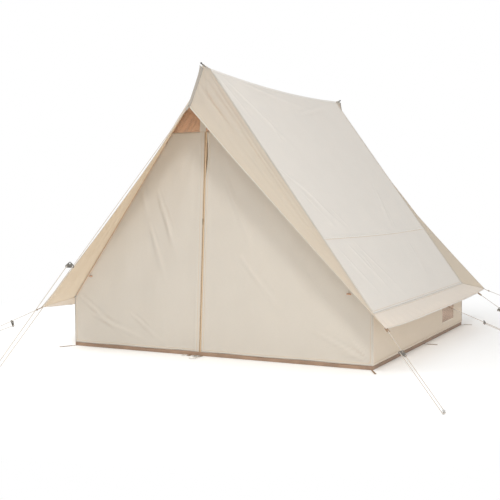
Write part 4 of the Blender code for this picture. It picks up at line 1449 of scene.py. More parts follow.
def make_roof():
    """Two panels that meet at the ridge, each with a level seam and the creases of its pitching."""
    slope, long = (peak(1) - eave_seam_end(1, 1)).length, 2 * HALF_LENGTH
    along = mesh_lines(long, grid=0.017)
    across = mesh_lines(slope, seams=[ROOF_SEAM / slope], grid=0.017)
    for side, hand in ((-1, "left"), (1, "right")):
        lines = ROOF_CREASES
        if side < 0:
            # The left panel has every second one, turned end for end.
            lines = [
                ((u, long - v), (u2, long - v2), width, depth)
                for (u, v), (u2, v2), width, depth in lines[::2]
            ]
        relief = heights(
            hollow(slope, long, scene_sizes().slack),
            rumple(2 + side, 0.22, 0.55, 0.0040),
            rumple(5 + side, 0.05, 0.16, 0.0010),
            *(crease(*line) for line in lines),
        )
        panel = cloth(
            f"roof_{hand}_canvas", roof_surface(side), across, along, (side, 0, ROOF_FACING),
            roof_canvas, "roof_canvas", hems=("near", "far", "front", "rear"),
            held=("near", "far", "front", "rear"), relief=relief,
            seam_across=ROOF_SEAM / slope, stands_for=[f"roof_{hand}"],
        )
        declare(panel)
    make_ridge_cap()


def make_ridge_cap():
    """The ridge seam is bound with a strip folded over it."""
    lean = math.atan2(PEAK_HEIGHT - WALL_HEIGHT, HALF_WIDTH)
    reach, under, over = 0.017, 0.0017, 0.0029
    down = Vector((math.cos(lean), -math.sin(lean)))
    out = Vector((math.sin(lean), math.cos(lean)))
    right = [tuple(down * reach + out * rise) for rise in (over, under)]
    left = [(-x, y) for x, y in reversed(right)]
    section = [(0, over / math.cos(lean)), *right, (0, under / math.cos(lean)), *left]
    points = [Vector((0, y, ridge_height(y))) for y in steps(-HALF_LENGTH, HALF_LENGTH, 24)]
    bm = bmesh.new()
    sweep(bm, section, frames_along(points, [UP] * len(points)))
    piece("ridge_binding", bm, roof_canvas, "roof_canvas")


HOOD_CREASES = (
    # start and end as (out from the roof seam, down from the peak), width, depth
    ((0.098, 0.200), (0.098, 1.274), 0.012, 0.0042),
    ((0.190, 0.230), (0.122, 1.185), 0.014, 0.0046),
    ((0.022, 0.060), (0.050, 1.950), 0.007, -0.0048),
    ((0.046, 0.120), (0.082, 1.800), 0.009, 0.0030),
    ((0.140, 0.300), (0.150, 0.950), 0.008, -0.0030),
    ((0.070, 0.700), (0.105, 1.700), 0.008, -0.0026),
    ((0.155, 0.850), (0.120, 1.750), 0.010, 0.0030),
)


def make_hoods():
    """The roof reaches out over each door in two halves that meet at the tip."""
    for end, place in ((-1, "front"), (1, "rear")):
        for side, hand in ((-1, "left"), (1, "right")):
            surface = hood_surface(side, end)
            long = length_of([surface(0.5, a) for a in steps(0, 1, 24)])
            rows = with_lines(mesh_lines(long, grid=0.017), long, [HOOD_TIP_ROW * long])
            folds = heights(
                hollow(0.27, long, -0.004), rumple(3 * side + end, 0.05, 0.60, 0.0060),
                *(crease(*line) for line in HOOD_CREASES),
            )

            def relief(u, v, folds=folds, tip=HOOD_TIP_ROW * long):
                to_seam = mix(HOOD_TOP_WIDTH, HOOD_TIP_WIDTH, v / tip) - u
                return folds(u, v) * smooth(max(to_seam, (v - tip) * 0.7), 0.0, 0.06)

            panel = cloth(
                f"{place}_hood_{hand}_canvas", surface, mesh_lines(0.23, grid=0.011), rows,
                hood_outward(side, end), shaded_hood_canvas, "roof_canvas", hems=("near", "far"),
                held=("near", "front", "rear"), relief=relief,
                stands_for=[f"{place}_hood_{hand}"],
            )
            declare(panel)
    make_seam_tapes()


def make_seam_tapes():
    """Tape covers the seams between the roof and its hoods."""
    bm = bmesh.new()
    for end in (-1, 1):
        for side in (-1, 1):
            roof_facing = Vector((side * (PEAK_HEIGHT - WALL_HEIGHT), 0, HALF_WIDTH)).normalized()
            facing = (roof_facing + hood_outward(side, end)).normalized()
            lift = facing * (scene_sizes().canvas + scene_sizes().hem_rise)
            top, foot = peak(end) + lift, eave_seam_end(side, end) + lift
            points = [mix(top, foot, share) for share in steps(0.02, 0.995, 60)]
            ribbon(bm, points, facing, TAPE_OVER_SEAM, 0.0010)
    piece("hood_seam_tapes", bm, shaded_hood_canvas, "roof_canvas")


def make_valances():
    """The strip of roof that hangs below each eave, with a tab of webbing at each guyline."""
    for side, hand in ((-1, "left"), (1, "right")):
        surface = valance_surface(side)
        long = 2 * HALF_LENGTH

        def wrinkle(u, v, side=side):
            wave = noise.noise(Vector((v / 0.075, u / 0.5, side * 3.0)))
            fine = noise.noise(Vector((v / 0.028, u / 0.3, side * 9.0)))
            return (0.0075 * wave + 0.0022 * fine) * smooth(u, 0.01, 0.20)

        panel = cloth(
            f"valance_{hand}_canvas", surface, mesh_lines(0.18, grid=0.014),
            mesh_lines(long, grid=0.014), (side, 0, 0.9), valance_canvas, "roof_canvas",
            hems=("near", "far"), held=("near", "front", "rear"), relief=wrinkle,
            stands_for=[f"valance_{hand}"],
        )
        bm = bmesh.new()
        for spot in guy_spots():
            if spot.side == side:
                tab(bm, spot)
        tabs = piece(f"guy_tabs_{hand}", bm, brown_webbing, "webbing")
        declare(panel)


def on_tab(spot):
    """The transform of the middle of a tab's webbing."""
    return tab_frame(spot) @ Matrix.Translation((0, 0, scene_sizes().canvas / 2))


def tab(bm, spot):
    """A tab of doubled webbing with rounded corners and a hole for its cord."""
    half, long = TAB_WIDTH / 2, TAB_LENGTH
    near = [(long - 0.004, -half), (long - 0.0012, -half + 0.0012), (long, -half + 0.004)]
    far = [(x, -y) for x, y in reversed(near)]
    outline = [(-0.006, -half), *near, *far, (-0.006, half)]
    place = on_tab(spot)
    made = plate(bm, outline, 0.0024, place, [(long - TAB_MARGIN, 0, 0.0035)], 0.0005)
    layer, back = metres_of(bm), place.inverted()
    for face in {face for vert in made for face in vert.link_faces}:
        for loop in face.loops:
            loop[layer].uv = (back @ loop.vert.co).yx


def make_side_walls():
    """Low walls, each with a vent of net near the rear, and tape over the four corner seams."""
    (front, rear), (bottom, top) = VENT
    high, long = WALL_HEIGHT - SKIRT_HEIGHT, 2 * HALF_LENGTH
    hole = ((bottom - SKIRT_HEIGHT, top - SKIRT_HEIGHT), (front + HALF_LENGTH, rear + HALF_LENGTH))
    across = with_lines(mesh_lines(high, grid=0.018), high, hole[0])
    along = with_lines(mesh_lines(long, grid=0.02), long, hole[1])
    for side, hand in ((-1, "left"), (1, "right")):
        inner = side * (HALF_WIDTH - scene_sizes().canvas)
        waves = heights(rumple(7 + side, 0.2, 0.3, -0.003), rumple(4 + side, 0.05, 0.09, 0.001))

        def surface(b, a, inner=inner):
            y, z = mix(-HALF_LENGTH, HALF_LENGTH, a), mix(SKIRT_HEIGHT, WALL_HEIGHT, b)
            return Vector((inner, y, z))

        def flat_at_vent(u, v, waves=waves, vent=sum(hole[1]) / 2):
            return smooth(abs(v - vent), 0.20, 0.30) * waves(u, v)

        def inner_net(b, a, side=side):
            y = mix(front + NET_MARGIN, rear - NET_MARGIN, a)
            z = mix(bottom + NET_MARGIN, top - NET_MARGIN, b)
            return Vector((side * (HALF_WIDTH - 0.0013), y, z))

        wall = cloth(
            f"side_wall_{hand}_canvas", surface, across, along, (side, 0, 0), lit_side_wall_canvas,
            "wall_canvas", hems=("near", "far"), held=("near", "far", "front", "rear"),
            relief=flat_at_vent, hole=hole, stands_for=[f"side_wall_{hand}"],
        )
        fill = cloth(
            f"side_vent_{hand}_net", inner_net, mesh_lines(top - bottom, False, False),
            mesh_lines(rear - front, False, False), (side, 0, 0), vent_net, "vent_net",
            thickness=0.0009, stands_for=[f"side_vent_net_{hand}"],
        )
        declare(fill)
        border = make_vent_border(side, hand)
        declare(wall)
    make_corner_tapes()


def make_vent_border(side, hand):
    """Four strips of canvas sewn round a vent."""
    (front, rear), (bottom, top) = VENT
    x, over = side * HALF_WIDTH, VENT_BORDER / 2
    level = [[(y, z) for y in (front - over, (front + rear) / 2, rear + over)]
             for z in (bottom, top)]
    upright = [[(y, z) for z in (bottom + over, (bottom + top) / 2, top - over)]
               for y in (front, rear)]
    bm = bmesh.new()
    for line in level + upright:
        ribbon(bm, [Vector((x, y, z)) for y, z in line], Vector((side, 0, 0)), VENT_BORDER, 0.0012)
    return piece(f"side_vent_{hand}_border", bm, lit_side_wall_canvas, "wall_canvas")


def make_corner_tapes():
    bm = bmesh.new()
    for side in (-1, 1):
        for end in (-1, 1):
            corner = turned_to(Vector((HALF_WIDTH - 0.0004, HALF_LENGTH - 0.0004, 0)), side, end)
            points = [corner + UP * z for z in steps(SKIRT_HEIGHT + 0.001, WALL_HEIGHT - 0.001, 10)]
            ribbon(bm, points, Vector((side, end, 0)).normalized(), TAPE_OVER_SEAM, 0.0012)
    piece("corner_seam_tapes", bm, wall_canvas, "wall_canvas")


def wall_rows(grid=0.02):
    """The mesh lines up an end wall, with one where the roof starts."""
    high = DOOR_TOP - SKIRT_HEIGHT
    return with_lines(mesh_lines(high, grid=grid), high, [WALL_HEIGHT - SKIRT_HEIGHT])


def make_rear_wall():
    """The rear wall has no door."""
    def surface(b, a):
        z = mix(SKIRT_HEIGHT, DOOR_TOP, a)
        return Vector((mix(-1, 1, b) * end_edge(z), HALF_LENGTH - scene_sizes().canvas, z))

    relief = heights(rumple(11, 0.3, 0.5, 0.005), rumple(12, 0.06, 0.14, 0.0012))
    wall = cloth(
        "rear_wall_canvas", surface, mesh_lines(2.3), wall_rows(), (0, 1, 0), wall_canvas,
        "wall_canvas", hems=("near", "far", "front", "rear"),
        held=("near", "far", "front", "rear"), relief=relief, stands_for=["rear_wall"],
    )
    declare(wall)


def make_wall_binding():
    """Tape covers the seam that joins both end walls to the roof and its hoods."""
    bm = bmesh.new()
    for end in (-1, 1):
        for side in (-1, 1):
            facing = (Vector((0, end, 0)) - hood_outward(side, end)).normalized()
            points = [
                Vector((side * (roof_half_width(z) - 0.0030), end * (HALF_LENGTH + 0.0030), z))
                for z in steps(WALL_HEIGHT + 0.02, GABLE_TOP, 60)
            ]
            ribbon(bm, points, facing, 0.009, 0.0008)
    piece("wall_seam_binding", bm, binding, "roof_canvas")


def make_gable_nets():
    """Net fills both end walls above the door."""
    for end, name in ((-1, "front"), (1, "rear")):
        def surface(b, a, end=end):
            z = mix(DOOR_TOP, GABLE_TOP, a)
            edge = roof_half_width(z) - WALL_GAP
            return Vector((mix(-1, 1, b) * edge, end * (HALF_LENGTH - WALL_INSET), z))

        panel = cloth(
            f"{name}_gable_insect_net", surface, mesh_lines(0.5, False, False),
            mesh_lines(GABLE_TOP - DOOR_TOP, False, False), (0, end, 0), gable_net, "vent_net",
            thickness=0.0010, relief=rumple(20 + end, 0.1, 0.2, 0.0016),
            held=("near", "far", "front", "rear"), stands_for=[f"{name}_gable_net"],
        )
        declare(panel)
    make_wall_binding()
    make_gable_band()


def make_gable_band():
    """A band of canvas carries the line of the zip up over the front net."""
    points = [
        Vector((zip_x(z) - ZIP_COVER_WIDTH / 2, -HALF_LENGTH - 0.0008, z))
        for z in steps(DOOR_TOP + 0.001, 1.84, 16)
    ]
    bm = bmesh.new()
    ribbon(bm, points, FRONT, ZIP_COVER_WIDTH + 0.008, 0.0012)
    piece("gable_middle_band", bm, wall_canvas, "wall_canvas")


DOOR_CREASES = {
    # start and end as (x, z), width, depth
    -1: (
        ((-0.428, 1.233), (-0.251, 0.669), 0.014, 0.0050),
        ((-0.371, 1.091), (-0.291, 0.809), 0.012, 0.0034),
        ((-0.579, 1.378), (-0.499, 0.949), 0.014, 0.0040),
        ((-0.498, 0.985), (-0.336, 0.453), 0.014, 0.0040),
        ((-1.146, 0.420), (-0.682, 0.072), 0.012, 0.0036),
        ((-1.037, 0.274), (-0.425, 0.045), 0.012, 0.0036),
        ((-0.679, 0.293), (-0.341, 0.045), 0.010, 0.0030),
    ),
    1: (
        ((1.142, 0.060), (0.669, 0.295), 0.010, 0.0030),
        ((1.142, 0.060), (0.882, 0.143), 0.009, 0.0026),
        ((1.156, 0.070), (0.986, 0.248), 0.009, 0.0026),
        ((0.225, 0.749), (0.597, 0.291), 0.014, 0.0036),
        ((0.110, 1.320), (0.330, 0.760), 0.014, 0.0034),
    ),
}


def make_front_wall():
    """Both halves of the door wall, with the cover of the zip on the left half."""
    thick = scene_sizes().canvas
    for side, hand in ((-1, "left"), (1, "right")):
        def surface(b, a, side=side):
            z = mix(SKIRT_HEIGHT, DOOR_TOP, a)
            near = zip_x(z) + side * TAPE_WIDTH
            if side > 0:
                near += DOOR_GAPE * math.sin(math.pi * smooth(z, DOOR_GAPE_FOOT, DOOR_TOP)) ** 0.7
            x = mix(near, side * end_edge(z), b)
            width = abs(hinge_x(side, z) - zip_x(z)) - ZIP_COVER_WIDTH
            phase = max(0, abs(x - zip_x(z)) - ZIP_COVER_WIDTH) / max(width, TAPE_WIDTH)
            fold = math.sin(math.tau * DOOR_FOLDS * min(1, phase)) * (1 - a)
            return Vector((x, -HALF_LENGTH + thick + DOOR_FOLD_DEPTH * fold, z))

        def on_flap(spot, side=side):
            x, z = spot
            return abs(x - zip_x(z) - side * TAPE_WIDTH), z - SKIRT_HEIGHT

        relief = heights(
            rumple(30 + side, 0.16, 0.70, 0.0060), rumple(33 + side, 0.05, 0.13, 0.0012),
            *(crease(on_flap(start), on_flap(end), width, depth)
              for start, end, width, depth in DOOR_CREASES[side]),
        )
        panel = cloth(
            f"front_wall_{hand}_canvas", surface, mesh_lines(1.26, grid=0.016),
            wall_rows(0.017), (0, -1, 0), wall_canvas, "wall_canvas",
            hems=("near", "front", "far"), held=("near", "far", "front", "rear"),
            relief=relief, stands_for=[f"front_wall_{hand}", f"door_{hand}"], body=None,
        )
        foot = Vector((hinge_x(side, SKIRT_HEIGHT), -HALF_LENGTH, SKIRT_HEIGHT))
        head = Vector((hinge_x(side, DOOR_TOP), -HALF_LENGTH, DOOR_TOP))
        line = (head - foot).normalized()
        into_door = Vector((-side * line.z, 0, side * line.x))
        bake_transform(panel.thing)
        cover = [make_zip_cover()] if side < 0 else []
        declare(panel)


def make_zip_cover():
    """A strip that lies along the teeth, sewn to the left flap."""
    middle = -(ZIP_COVER_WIDTH + ZIP_COVER_GAP) / 2
    points = [
        Vector((zip_x(z) + middle, -HALF_LENGTH - 0.0005 + 0.0003 * math.sin(z * 21.0), z))
        for z in steps(SKIRT_HEIGHT + 0.0009, DOOR_TOP - 0.0009, 90)
    ]
    bm = bmesh.new()
    ribbon(bm, points, FRONT, ZIP_COVER_WIDTH - ZIP_COVER_GAP, 0.0011)
    edge, run = number_of(bm, "edge"), number_of(bm, "run")
    for vert in bm.verts:
        vert[edge] = abs(vert.co.x - zip_x(vert.co.z) + ZIP_COVER_WIDTH)
        vert[run] = vert.co.z
    return piece("zip_storm_cover", bm, wall_canvas, "wall_canvas", body="left_flap")


def make_zip():
    """Two tapes with their teeth, the slider that runs on them, and its pull."""
    low, high = SKIRT_HEIGHT + 0.0005, DOOR_TOP - 0.0005
    lean = Matrix.Rotation(math.atan(ZIP_LEAN), 4, "Y")
    for side, hand in ((-1, "left"), (1, "right")):
        middle = side * (TAPE_WIDTH + TEETH_GAP / 2) / 2
        points = [
            Vector((zip_x(z) + middle, -HALF_LENGTH + 0.0015, z)) for z in steps(low, high, 40)
        ]
        bm = bmesh.new()
        ribbon(bm, points, FRONT, TAPE_WIDTH - TEETH_GAP / 2, TAPE_THICKNESS)
        piece(
            f"zip_{hand}_tape", bm, zip_tape, "zip_tape", body=f"{hand}_flap",
            stands_for=[f"zip_tape_{hand}"],
        )
        make_teeth(side, hand, low, high, lean)
    make_zip_slider(lean)
    make_zip_pull()


def make_teeth(side, hand, low, high, lean):
    """Teeth on one tape, which reach just past the middle between those of the other."""
    pitch = scene_sizes().tooth
    middle = side * (TOOTH_WIDTH / 2 - TOOTH_PAST_MIDDLE)
    shape = Matrix.Translation((middle, 0, 0))
    shape @= Matrix.Diagonal((TOOTH_WIDTH, TOOTH_DEPTH, pitch * 0.42, 1.0))
    bm = bmesh.new()
    for number in range(int((high - low) / pitch)):
        z = low + (number + (0.25 if side < 0 else 0.75)) * pitch
        place = Matrix.Translation((zip_x(z), -HALF_LENGTH + 0.0008, z)) @ lean
        bmesh.ops.create_cube(bm, size=1.0, matrix=place @ shape)
    piece(f"zip_{hand}_teeth", bm, zip_metal, "zip_metal", body=f"{hand}_flap")


def make_zip_slider(lean):
    """Two plates joined by a post, with the bridge that holds the pull."""
    front, back = SLIDER_GAP
    place = Matrix.Translation((zip_x(SLIDER_PLACE), 0, SLIDER_PLACE)) @ lean
    half, high = SLIDER_HALF_WIDTH, SLIDER_HALF_LENGTH
    outline = both_sides([
        (half * 0.75, -high), (half, -high * 0.7), (half, high * 0.6), (half * 0.7, high)
    ])
    bm = bmesh.new()
    for y in (front - SLIDER_WALL / 2, back + SLIDER_WALL / 2):
        upright = Matrix.Translation((0, y, 0)) @ UPRIGHT
        plate(bm, outline, SLIDER_WALL, place @ upright, rounding=0.0005)
    block(bm, (-0.0014, front, -0.009), (0.0014, back, 0.009), 0.0002, place)
    bridge = [
        place @ Vector((0, front - 0.0016 - BRIDGE_RISE * math.sin(math.pi * share),
                        mix(-0.0035, 0.0085, share)))
        for share in steps(0, 1, 8)
    ]
    ribbon(bm, bridge, place.to_3x3() @ FRONT, 0.0024, 0.0008)
    piece(
        "zip_slider_body_metal", bm, zip_metal, "zip_metal", body="zip_slider_body",
        stands_for=["zip_slider"],
    )


def make_zip_pull():
    outline = both_sides([
        (0.0026, 0.0), (0.0034, -0.004), (0.0036, -0.012), (0.0040, -0.027), (0.0036, -0.031),
        (0.0022, -0.0336),
    ])
    hinge_y = SLIDER_GAP[0] - SLIDER_WALL - BRIDGE_RISE
    hanging = Matrix.Translation((zip_x(SLIDER_PLACE), hinge_y, SLIDER_PLACE)) @ UPRIGHT
    bm = bmesh.new()
    plate(bm, outline, 0.0014, hanging, [(0, -0.0285, 0.0021)])
    piece(
        "zip_pull_tab", bm, zip_metal, "zip_metal", body="zip_pull_body",
        stands_for=["zip_pull"],
    )


def make_groundsheet():
    """A tray of coated cloth whose turned-up edge shows below the walls."""
    inner, thick = HALF_WIDTH - WALL_INSET, FLOOR_THICKNESS
    bm = bmesh.new()
    bmesh.ops.create_grid(bm, x_segments=84, y_segments=84, size=1.0)
    for vert in bm.verts:
        x, y = vert.co.x * inner, vert.co.y * inner
        from_edge = inner - max(abs(x), abs(y))
        wave = abs(noise.noise(Vector((x * 2.3, y * 2.3, 4.0)))) * 0.006
        wave += abs(noise.noise(Vector((x * 9.0, y * 9.0, 8.0)))) * 0.002
        vert.co = (x, y, thick + wave * smooth(from_edge, 0.0, 0.06))
    rim = [edge for edge in bm.edges if edge.is_boundary]
    for z in (0.010, 0.019, SKIRT_HEIGHT - 0.0005):
        grown = bmesh.ops.extrude_edge_only(bm, edges=rim)["geom"]
        verts = [part for part in grown if isinstance(part, bmesh.types.BMVert)]
        rim = [part for part in grown if isinstance(part, bmesh.types.BMEdge)
               and all(vert in verts for vert in part.verts)]
        for vert in verts:
            vert.co.z = z
    bmesh.ops.recalc_face_normals(bm, faces=bm.faces)
    floor = [face for face in bm.faces if face.calc_center_median().z < 0.009]
    if sum(face.normal.z for face in floor) > 0:
        bmesh.ops.reverse_faces(bm, faces=bm.faces)
    put_metres(bm, {vert.index: (vert.co.x, vert.co.y + vert.co.z) for vert in bm.verts})
    tray = piece(
        "groundsheet_tray", bm, coated_cloth, "groundsheet", stands_for=["groundsheet"], angle=60
    )
    solid = tray.modifiers.new("Thickness", "SOLIDIFY")
    solid.thickness, solid.offset = thick, 1.0
    straps = make_peg_straps()
    make_sill_straps()
    make_sill_ring_and_bar()


def make_peg_straps():
    """Loops of webbing at the foot of the walls, for pegs."""
    x, y = HALF_WIDTH - 0.0008, HALF_LENGTH - 0.0008
    inset = STRAP_WIDTH / 2
    straps = [((0, y), (0, 0.106))]
    for side in (-1, 1):
        straps.append(((side * x, 0), (side * 0.106, 0)))
        straps.append(((side * (x - inset), -y), (side * 0.065, -0.120)))
        straps.append(((side * x, y - inset), (side * 0.090, 0.030)))
    bm = bmesh.new()
    for place, reach in straps:
        start, reach = Vector((*place, 0)), Vector((*reach, 0))
        ahead, long = reach.normalized(), reach.length
        profile = [(long * share, GROUND_GAP) for share in steps(0, 0.9, 8)]
        profile += [(long - 0.0028 + 0.0012 * math.sin(angle), 0.0016 - 0.0012 * math.cos(angle))
                    for angle in steps(0.2, math.pi, 8)]
        profile += [(long * share, 0.0028) for share in steps(0.9, 0.25, 8)]
        points = [start + ahead * out + UP * height for out, height in profile]
        runs = [after - before
                for before, after in zip([points[0], *points], [*points[1:], points[-1]])]
        ribbon(bm, points, [run.cross(UP.cross(ahead)) for run in runs], STRAP_WIDTH, 0.0008)
    return piece("peg_straps", bm, brown_webbing, "webbing")


def make_sill_straps():
    """Four straps at the foot of the zip."""
    seam = -HALF_LENGTH + 0.0008
    makers = (wall_canvas, brown_webbing, grey_webbing, brown_webbing)
    for number, (x, maker) in enumerate(zip(SILL_STRAP_PLACES, makers)):
        points = [
            Vector((x, seam - SILL_REACH * share,
                    0.0008 + 0.0008 * math.sin(2 * math.pi * share + number)))
            for share in steps(0, 1, 12)
        ]
        bm = bmesh.new()
        ribbon(bm, points, UP, SILL_STRAP_WIDTH, 0.0016)
        slot = "wall_canvas" if number == 0 else "webbing"
        piece(f"sill_strap_{number + 1}", bm, maker, slot)


def make_sill_ring_and_bar():
    """A ring on the last strap, and a bar on two cords that is pegged down."""
    x, strap_end = SILL_STRAP_PLACES[-1], -HALF_LENGTH + 0.0008 - SILL_REACH
    bm = bmesh.new()
    ring(bm, Vector((x, strap_end + 0.006, 0.0042)), FRONT, Vector((1, 0, 0)), 0.009, 0.0012, 24)
    piece("sill_ring", bm, peg_steel, "peg_steel")
    bar_y = strap_end - SILL_BAR_REACH
    half, radius = SILL_BAR_HALF, 0.004
    start = [(0, -half), (radius * 0.7, -half), (radius, -half + radius * 0.4), (radius, -0.012),
             (radius * 0.82, -0.0105)]
    profile = start + [(out, -along) for out, along in reversed(start)]
    bm = bmesh.new()
    level = Matrix.Translation((x, bar_y, 0.0044)) @ Matrix.Rotation(math.pi / 2, 4, "Y")
    turned(bm, profile, level)
    piece("sill_bar", bm, bar_plastic, "toggle")
    for side, hand in ((-1, "left"), (1, "right")):
        points = [
            Vector((x + side * (SILL_CORD_GAP / 2 + 0.0015 * math.sin(3.0 * share)),
                    mix(strap_end + 0.008, bar_y + 0.003, share),
                    0.0024 + 0.0022 * math.sin(math.pi * (1 - share)) ** 2))
            for share in steps(0, 1, 20)
        ]
        bm = bmesh.new()
        tube(bm, points, SILL_CORD / 2)
        strand = piece(f"sill_cord_{hand}", bm, guy_cord, "guy_cord")
        length_of(points)


def leg_axis(side, end):
    """The foot and top of a leg."""
    foot = turned_to(Vector((LEG_FOOT_X, FRAME_Y, FLOOR_THICKNESS)), side, end)
    return foot, turned_to(Vector((LEG_TOP[0], FRAME_Y, LEG_TOP[1])), side, end)


def section_profile(length, spigot):
    """A drawn tube with rolled edges that narrows to a spigot, open at both ends."""
    bore, wall = SPIGOT_RADIUS + 0.0003, 0.0017
    throat = SPIGOT_RADIUS - wall
    return [
        (bore, 0.0006), (bore + 0.0005, 0), (TUBE_RADIUS - 0.0006, 0), (TUBE_RADIUS, 0.0006),
        (TUBE_RADIUS, 0.05), (TUBE_RADIUS, length - 0.05), (TUBE_RADIUS, length - 0.0014),
        (TUBE_RADIUS - 0.0004, length - 0.0005), (SPIGOT_RADIUS + 0.0006, length),
        (SPIGOT_RADIUS, length + 0.0008), (SPIGOT_RADIUS, length + spigot - 0.0016),
        (SPIGOT_RADIUS - 0.0010, length + spigot), (throat, length + spigot),
        (throat, length - 2 * wall), (bore, length - 3 * wall), (bore, 0.0006),
    ]


def make_poles():
    """Four legs of three aluminium sections, each with a snap button at its joints and a foot."""
    for end, place in ((-1, "front"), (1, "rear")):
        for side, hand in ((-1, "left"), (1, "right")):
            foot, top = leg_axis(side, end)
            direction = (top - foot).normalized()
            mouth = (top - foot).length - SOCKET_DEPTH
            length = (mouth - TUBE_RADIUS - 0.0012) / 3
            for number, part in enumerate(("lower", "middle", "upper")):
                start = TUBE_RADIUS + number * (length + 0.0004)
                spigot = SPIGOT_LENGTH if number < 2 else SOCKET_DEPTH - 0.0008
                section = pointing(foot + direction * start, direction)
                bm = bmesh.new()
                turned(bm, section_profile(length, spigot), section, 32)
                if number:
                    make_snap_button(bm, foot + direction * (start + BUTTON_PLACE), end)
                piece(
                    f"{place}_{hand}_tube_{part}", bm, tube_metal, "pole_tube",
                    stands_for=[f"{place}_{hand}_pole_{part}"],
                )
            bm = bmesh.new()
            radius = TUBE_RADIUS
            cap = [(0, -2 * radius), (radius, -2 * radius), (radius, radius - 0.0010),
                   (radius - 0.0006, radius - 0.0003), (0, radius - 0.0003)]
            turned(bm, cap, pointing(foot, direction), 32)
            cut_level(bm, foot.z + GROUND_GAP)
            piece(f"{place}_{hand}_foot_plug", bm, hub_plastic, "hub_plastic")


def make_snap_button(bm, middle, end):
    """The sprung dome that locks two sections, on the side that faces into the tent."""
    inwards = Vector((0, -end, 0))
    dome = [(0.0032, 0), (0.0032, 0.0010), (0.0026, 0.0017), (0.0012, 0.0021), (0, 0.0022)]
    turned(bm, dome, pointing(middle + inwards * 0.0118, inwards), 16)


def make_hubs():
    """A moulded block takes the top of both legs, and its pin holds the peak of the hood."""
    crown = ridge_height(FRAME_Y - HUB_DEPTH / 2) - 0.0008
    slope = (crown - WALL_HEIGHT) / HALF_WIDTH
    shoulder = crown - slope * LEG_TOP[0]
    collar = [
        (0.0128, 0.030), (0.0150, 0.030), (0.0160, 0.0315), (0.0160, 0.0420), (0.0166, 0.0430),
        (0.0166, 0.0482), (0.0158, 0.0492), (0.0136, 0.0492), (0.0128, 0.0484), (0.0128, 0.030),
    ]
    for end, place in ((-1, "front"), (1, "rear")):
        foot, top = leg_axis(1, end)
        down = (foot - top).normalized()
        across = Vector((-down.z, 0, down.x))
        mouth = top + down * (SOCKET_DEPTH - 0.012)
        outer, inner = mouth + across * SOCKET_RADIUS, mouth - across * SOCKET_RADIUS
        outline = both_sides([
            (0.006, crown - 0.0040 - slope * 0.004), (LEG_TOP[0] * 0.8, shoulder + 0.004),
            (LEG_TOP[0], shoulder), (outer.x, outer.z), (inner.x, inner.z),
            (0.006, top.z - SPIGOT_RADIUS - 0.002),
        ])
        middle = Matrix.Translation((0, end * FRAME_Y, 0))
        bm = bmesh.new()
        plate(bm, outline, HUB_DEPTH, middle @ UPRIGHT, rounding=0.0016, segments=3)
        for side in (-1, 1):
            foot, top = leg_axis(side, end)
            turned(bm, collar, pointing(top, foot - top), 32)
        make_peak_pin(bm, end)
        piece(
            f"{place}_apex_hub_moulding", bm, hub_plastic, "hub_plastic",
            stands_for=[f"{place}_apex_hub"],
        )


def make_peak_pin(bm, end):
    """The pin that leaves the hub through the peak of the hood and ends in a knob."""
    direction = Vector((0, end, PIN_SLOPE)).normalized()
    through = turned_to(HOOD_PEAK, 0, end)
    start = through - direction * abs(through.y - end * FRAME_Y) / abs(direction.y)
    reach = (through - start).length + PIN_REACH
    knob = [
        (0, 0), (PIN_RADIUS, 0), (PIN_RADIUS, reach - 0.004), (PIN_RADIUS * 1.15, reach),
        (KNOB_RADIUS * 0.92, reach + 0.0034), (KNOB_RADIUS, reach + 0.0050),
        (KNOB_RADIUS, reach + 0.0074), (KNOB_RADIUS * 0.90, reach + 0.0094),
        (KNOB_RADIUS * 0.6, reach + 0.0110), (0, reach + 0.0118),
    ]
    turned(bm, knob, pointing(start, direction), 28)


def make_hood_webbing():
    """Grey webbing folded over the middle seam of each hood, ending in a tab at the tip."""
    rise = scene_sizes().canvas + scene_sizes().hem_rise + HOOD_STRIP_GAP
    for end, place in ((-1, "front"), (1, "rear")):
        def surface(b, a, end=end):
            w = (b - 0.5) * HOOD_STRIP_WIDTH
            side = 1 if w > 0 else -1
            at = hood_surface(side, end)
            row = HOOD_TIP_ROW * mix(*HOOD_STRIP_ROWS, a)
            top, below = at(1, row), at(1, row - 0.01 if a > 0.4 else row + 0.01)
            in_hood = at(0.84, row) - top
            normal = in_hood.cross(below - top).normalized()
            if normal.dot(hood_outward(side, end)) < 0:
                normal = -normal
            middle = Vector((0, normal.y, normal.z)).normalized()
            sharp = top + middle * rise / normal.dot(middle)
            flat = top + in_hood.normalized() * abs(w) + normal * rise
            return mix(sharp, flat, smooth(abs(w), 0.0, 0.004))

        strip = cloth(
            f"{place}_hood_strip", surface, [(share, 0.0) for share in steps(0, 1, 12)],
            [(share, 0.0) for share in steps(0, 1, 20)], (0, end, 1), grey_webbing, "webbing",
            thickness=scene_sizes().webbing, stands_for=[f"{place}_hood_webbing"],
        )
        long = strip.flat[1]
        strip = strip._replace(flat=(HOOD_STRIP_WIDTH, long), area=HOOD_STRIP_WIDTH * long)
        bm = bmesh.new()
        tab(bm, guy_spot(place))
        patch = piece(f"{place}_hood_tab", bm, grey_webbing, "webbing")
        declare(strip)


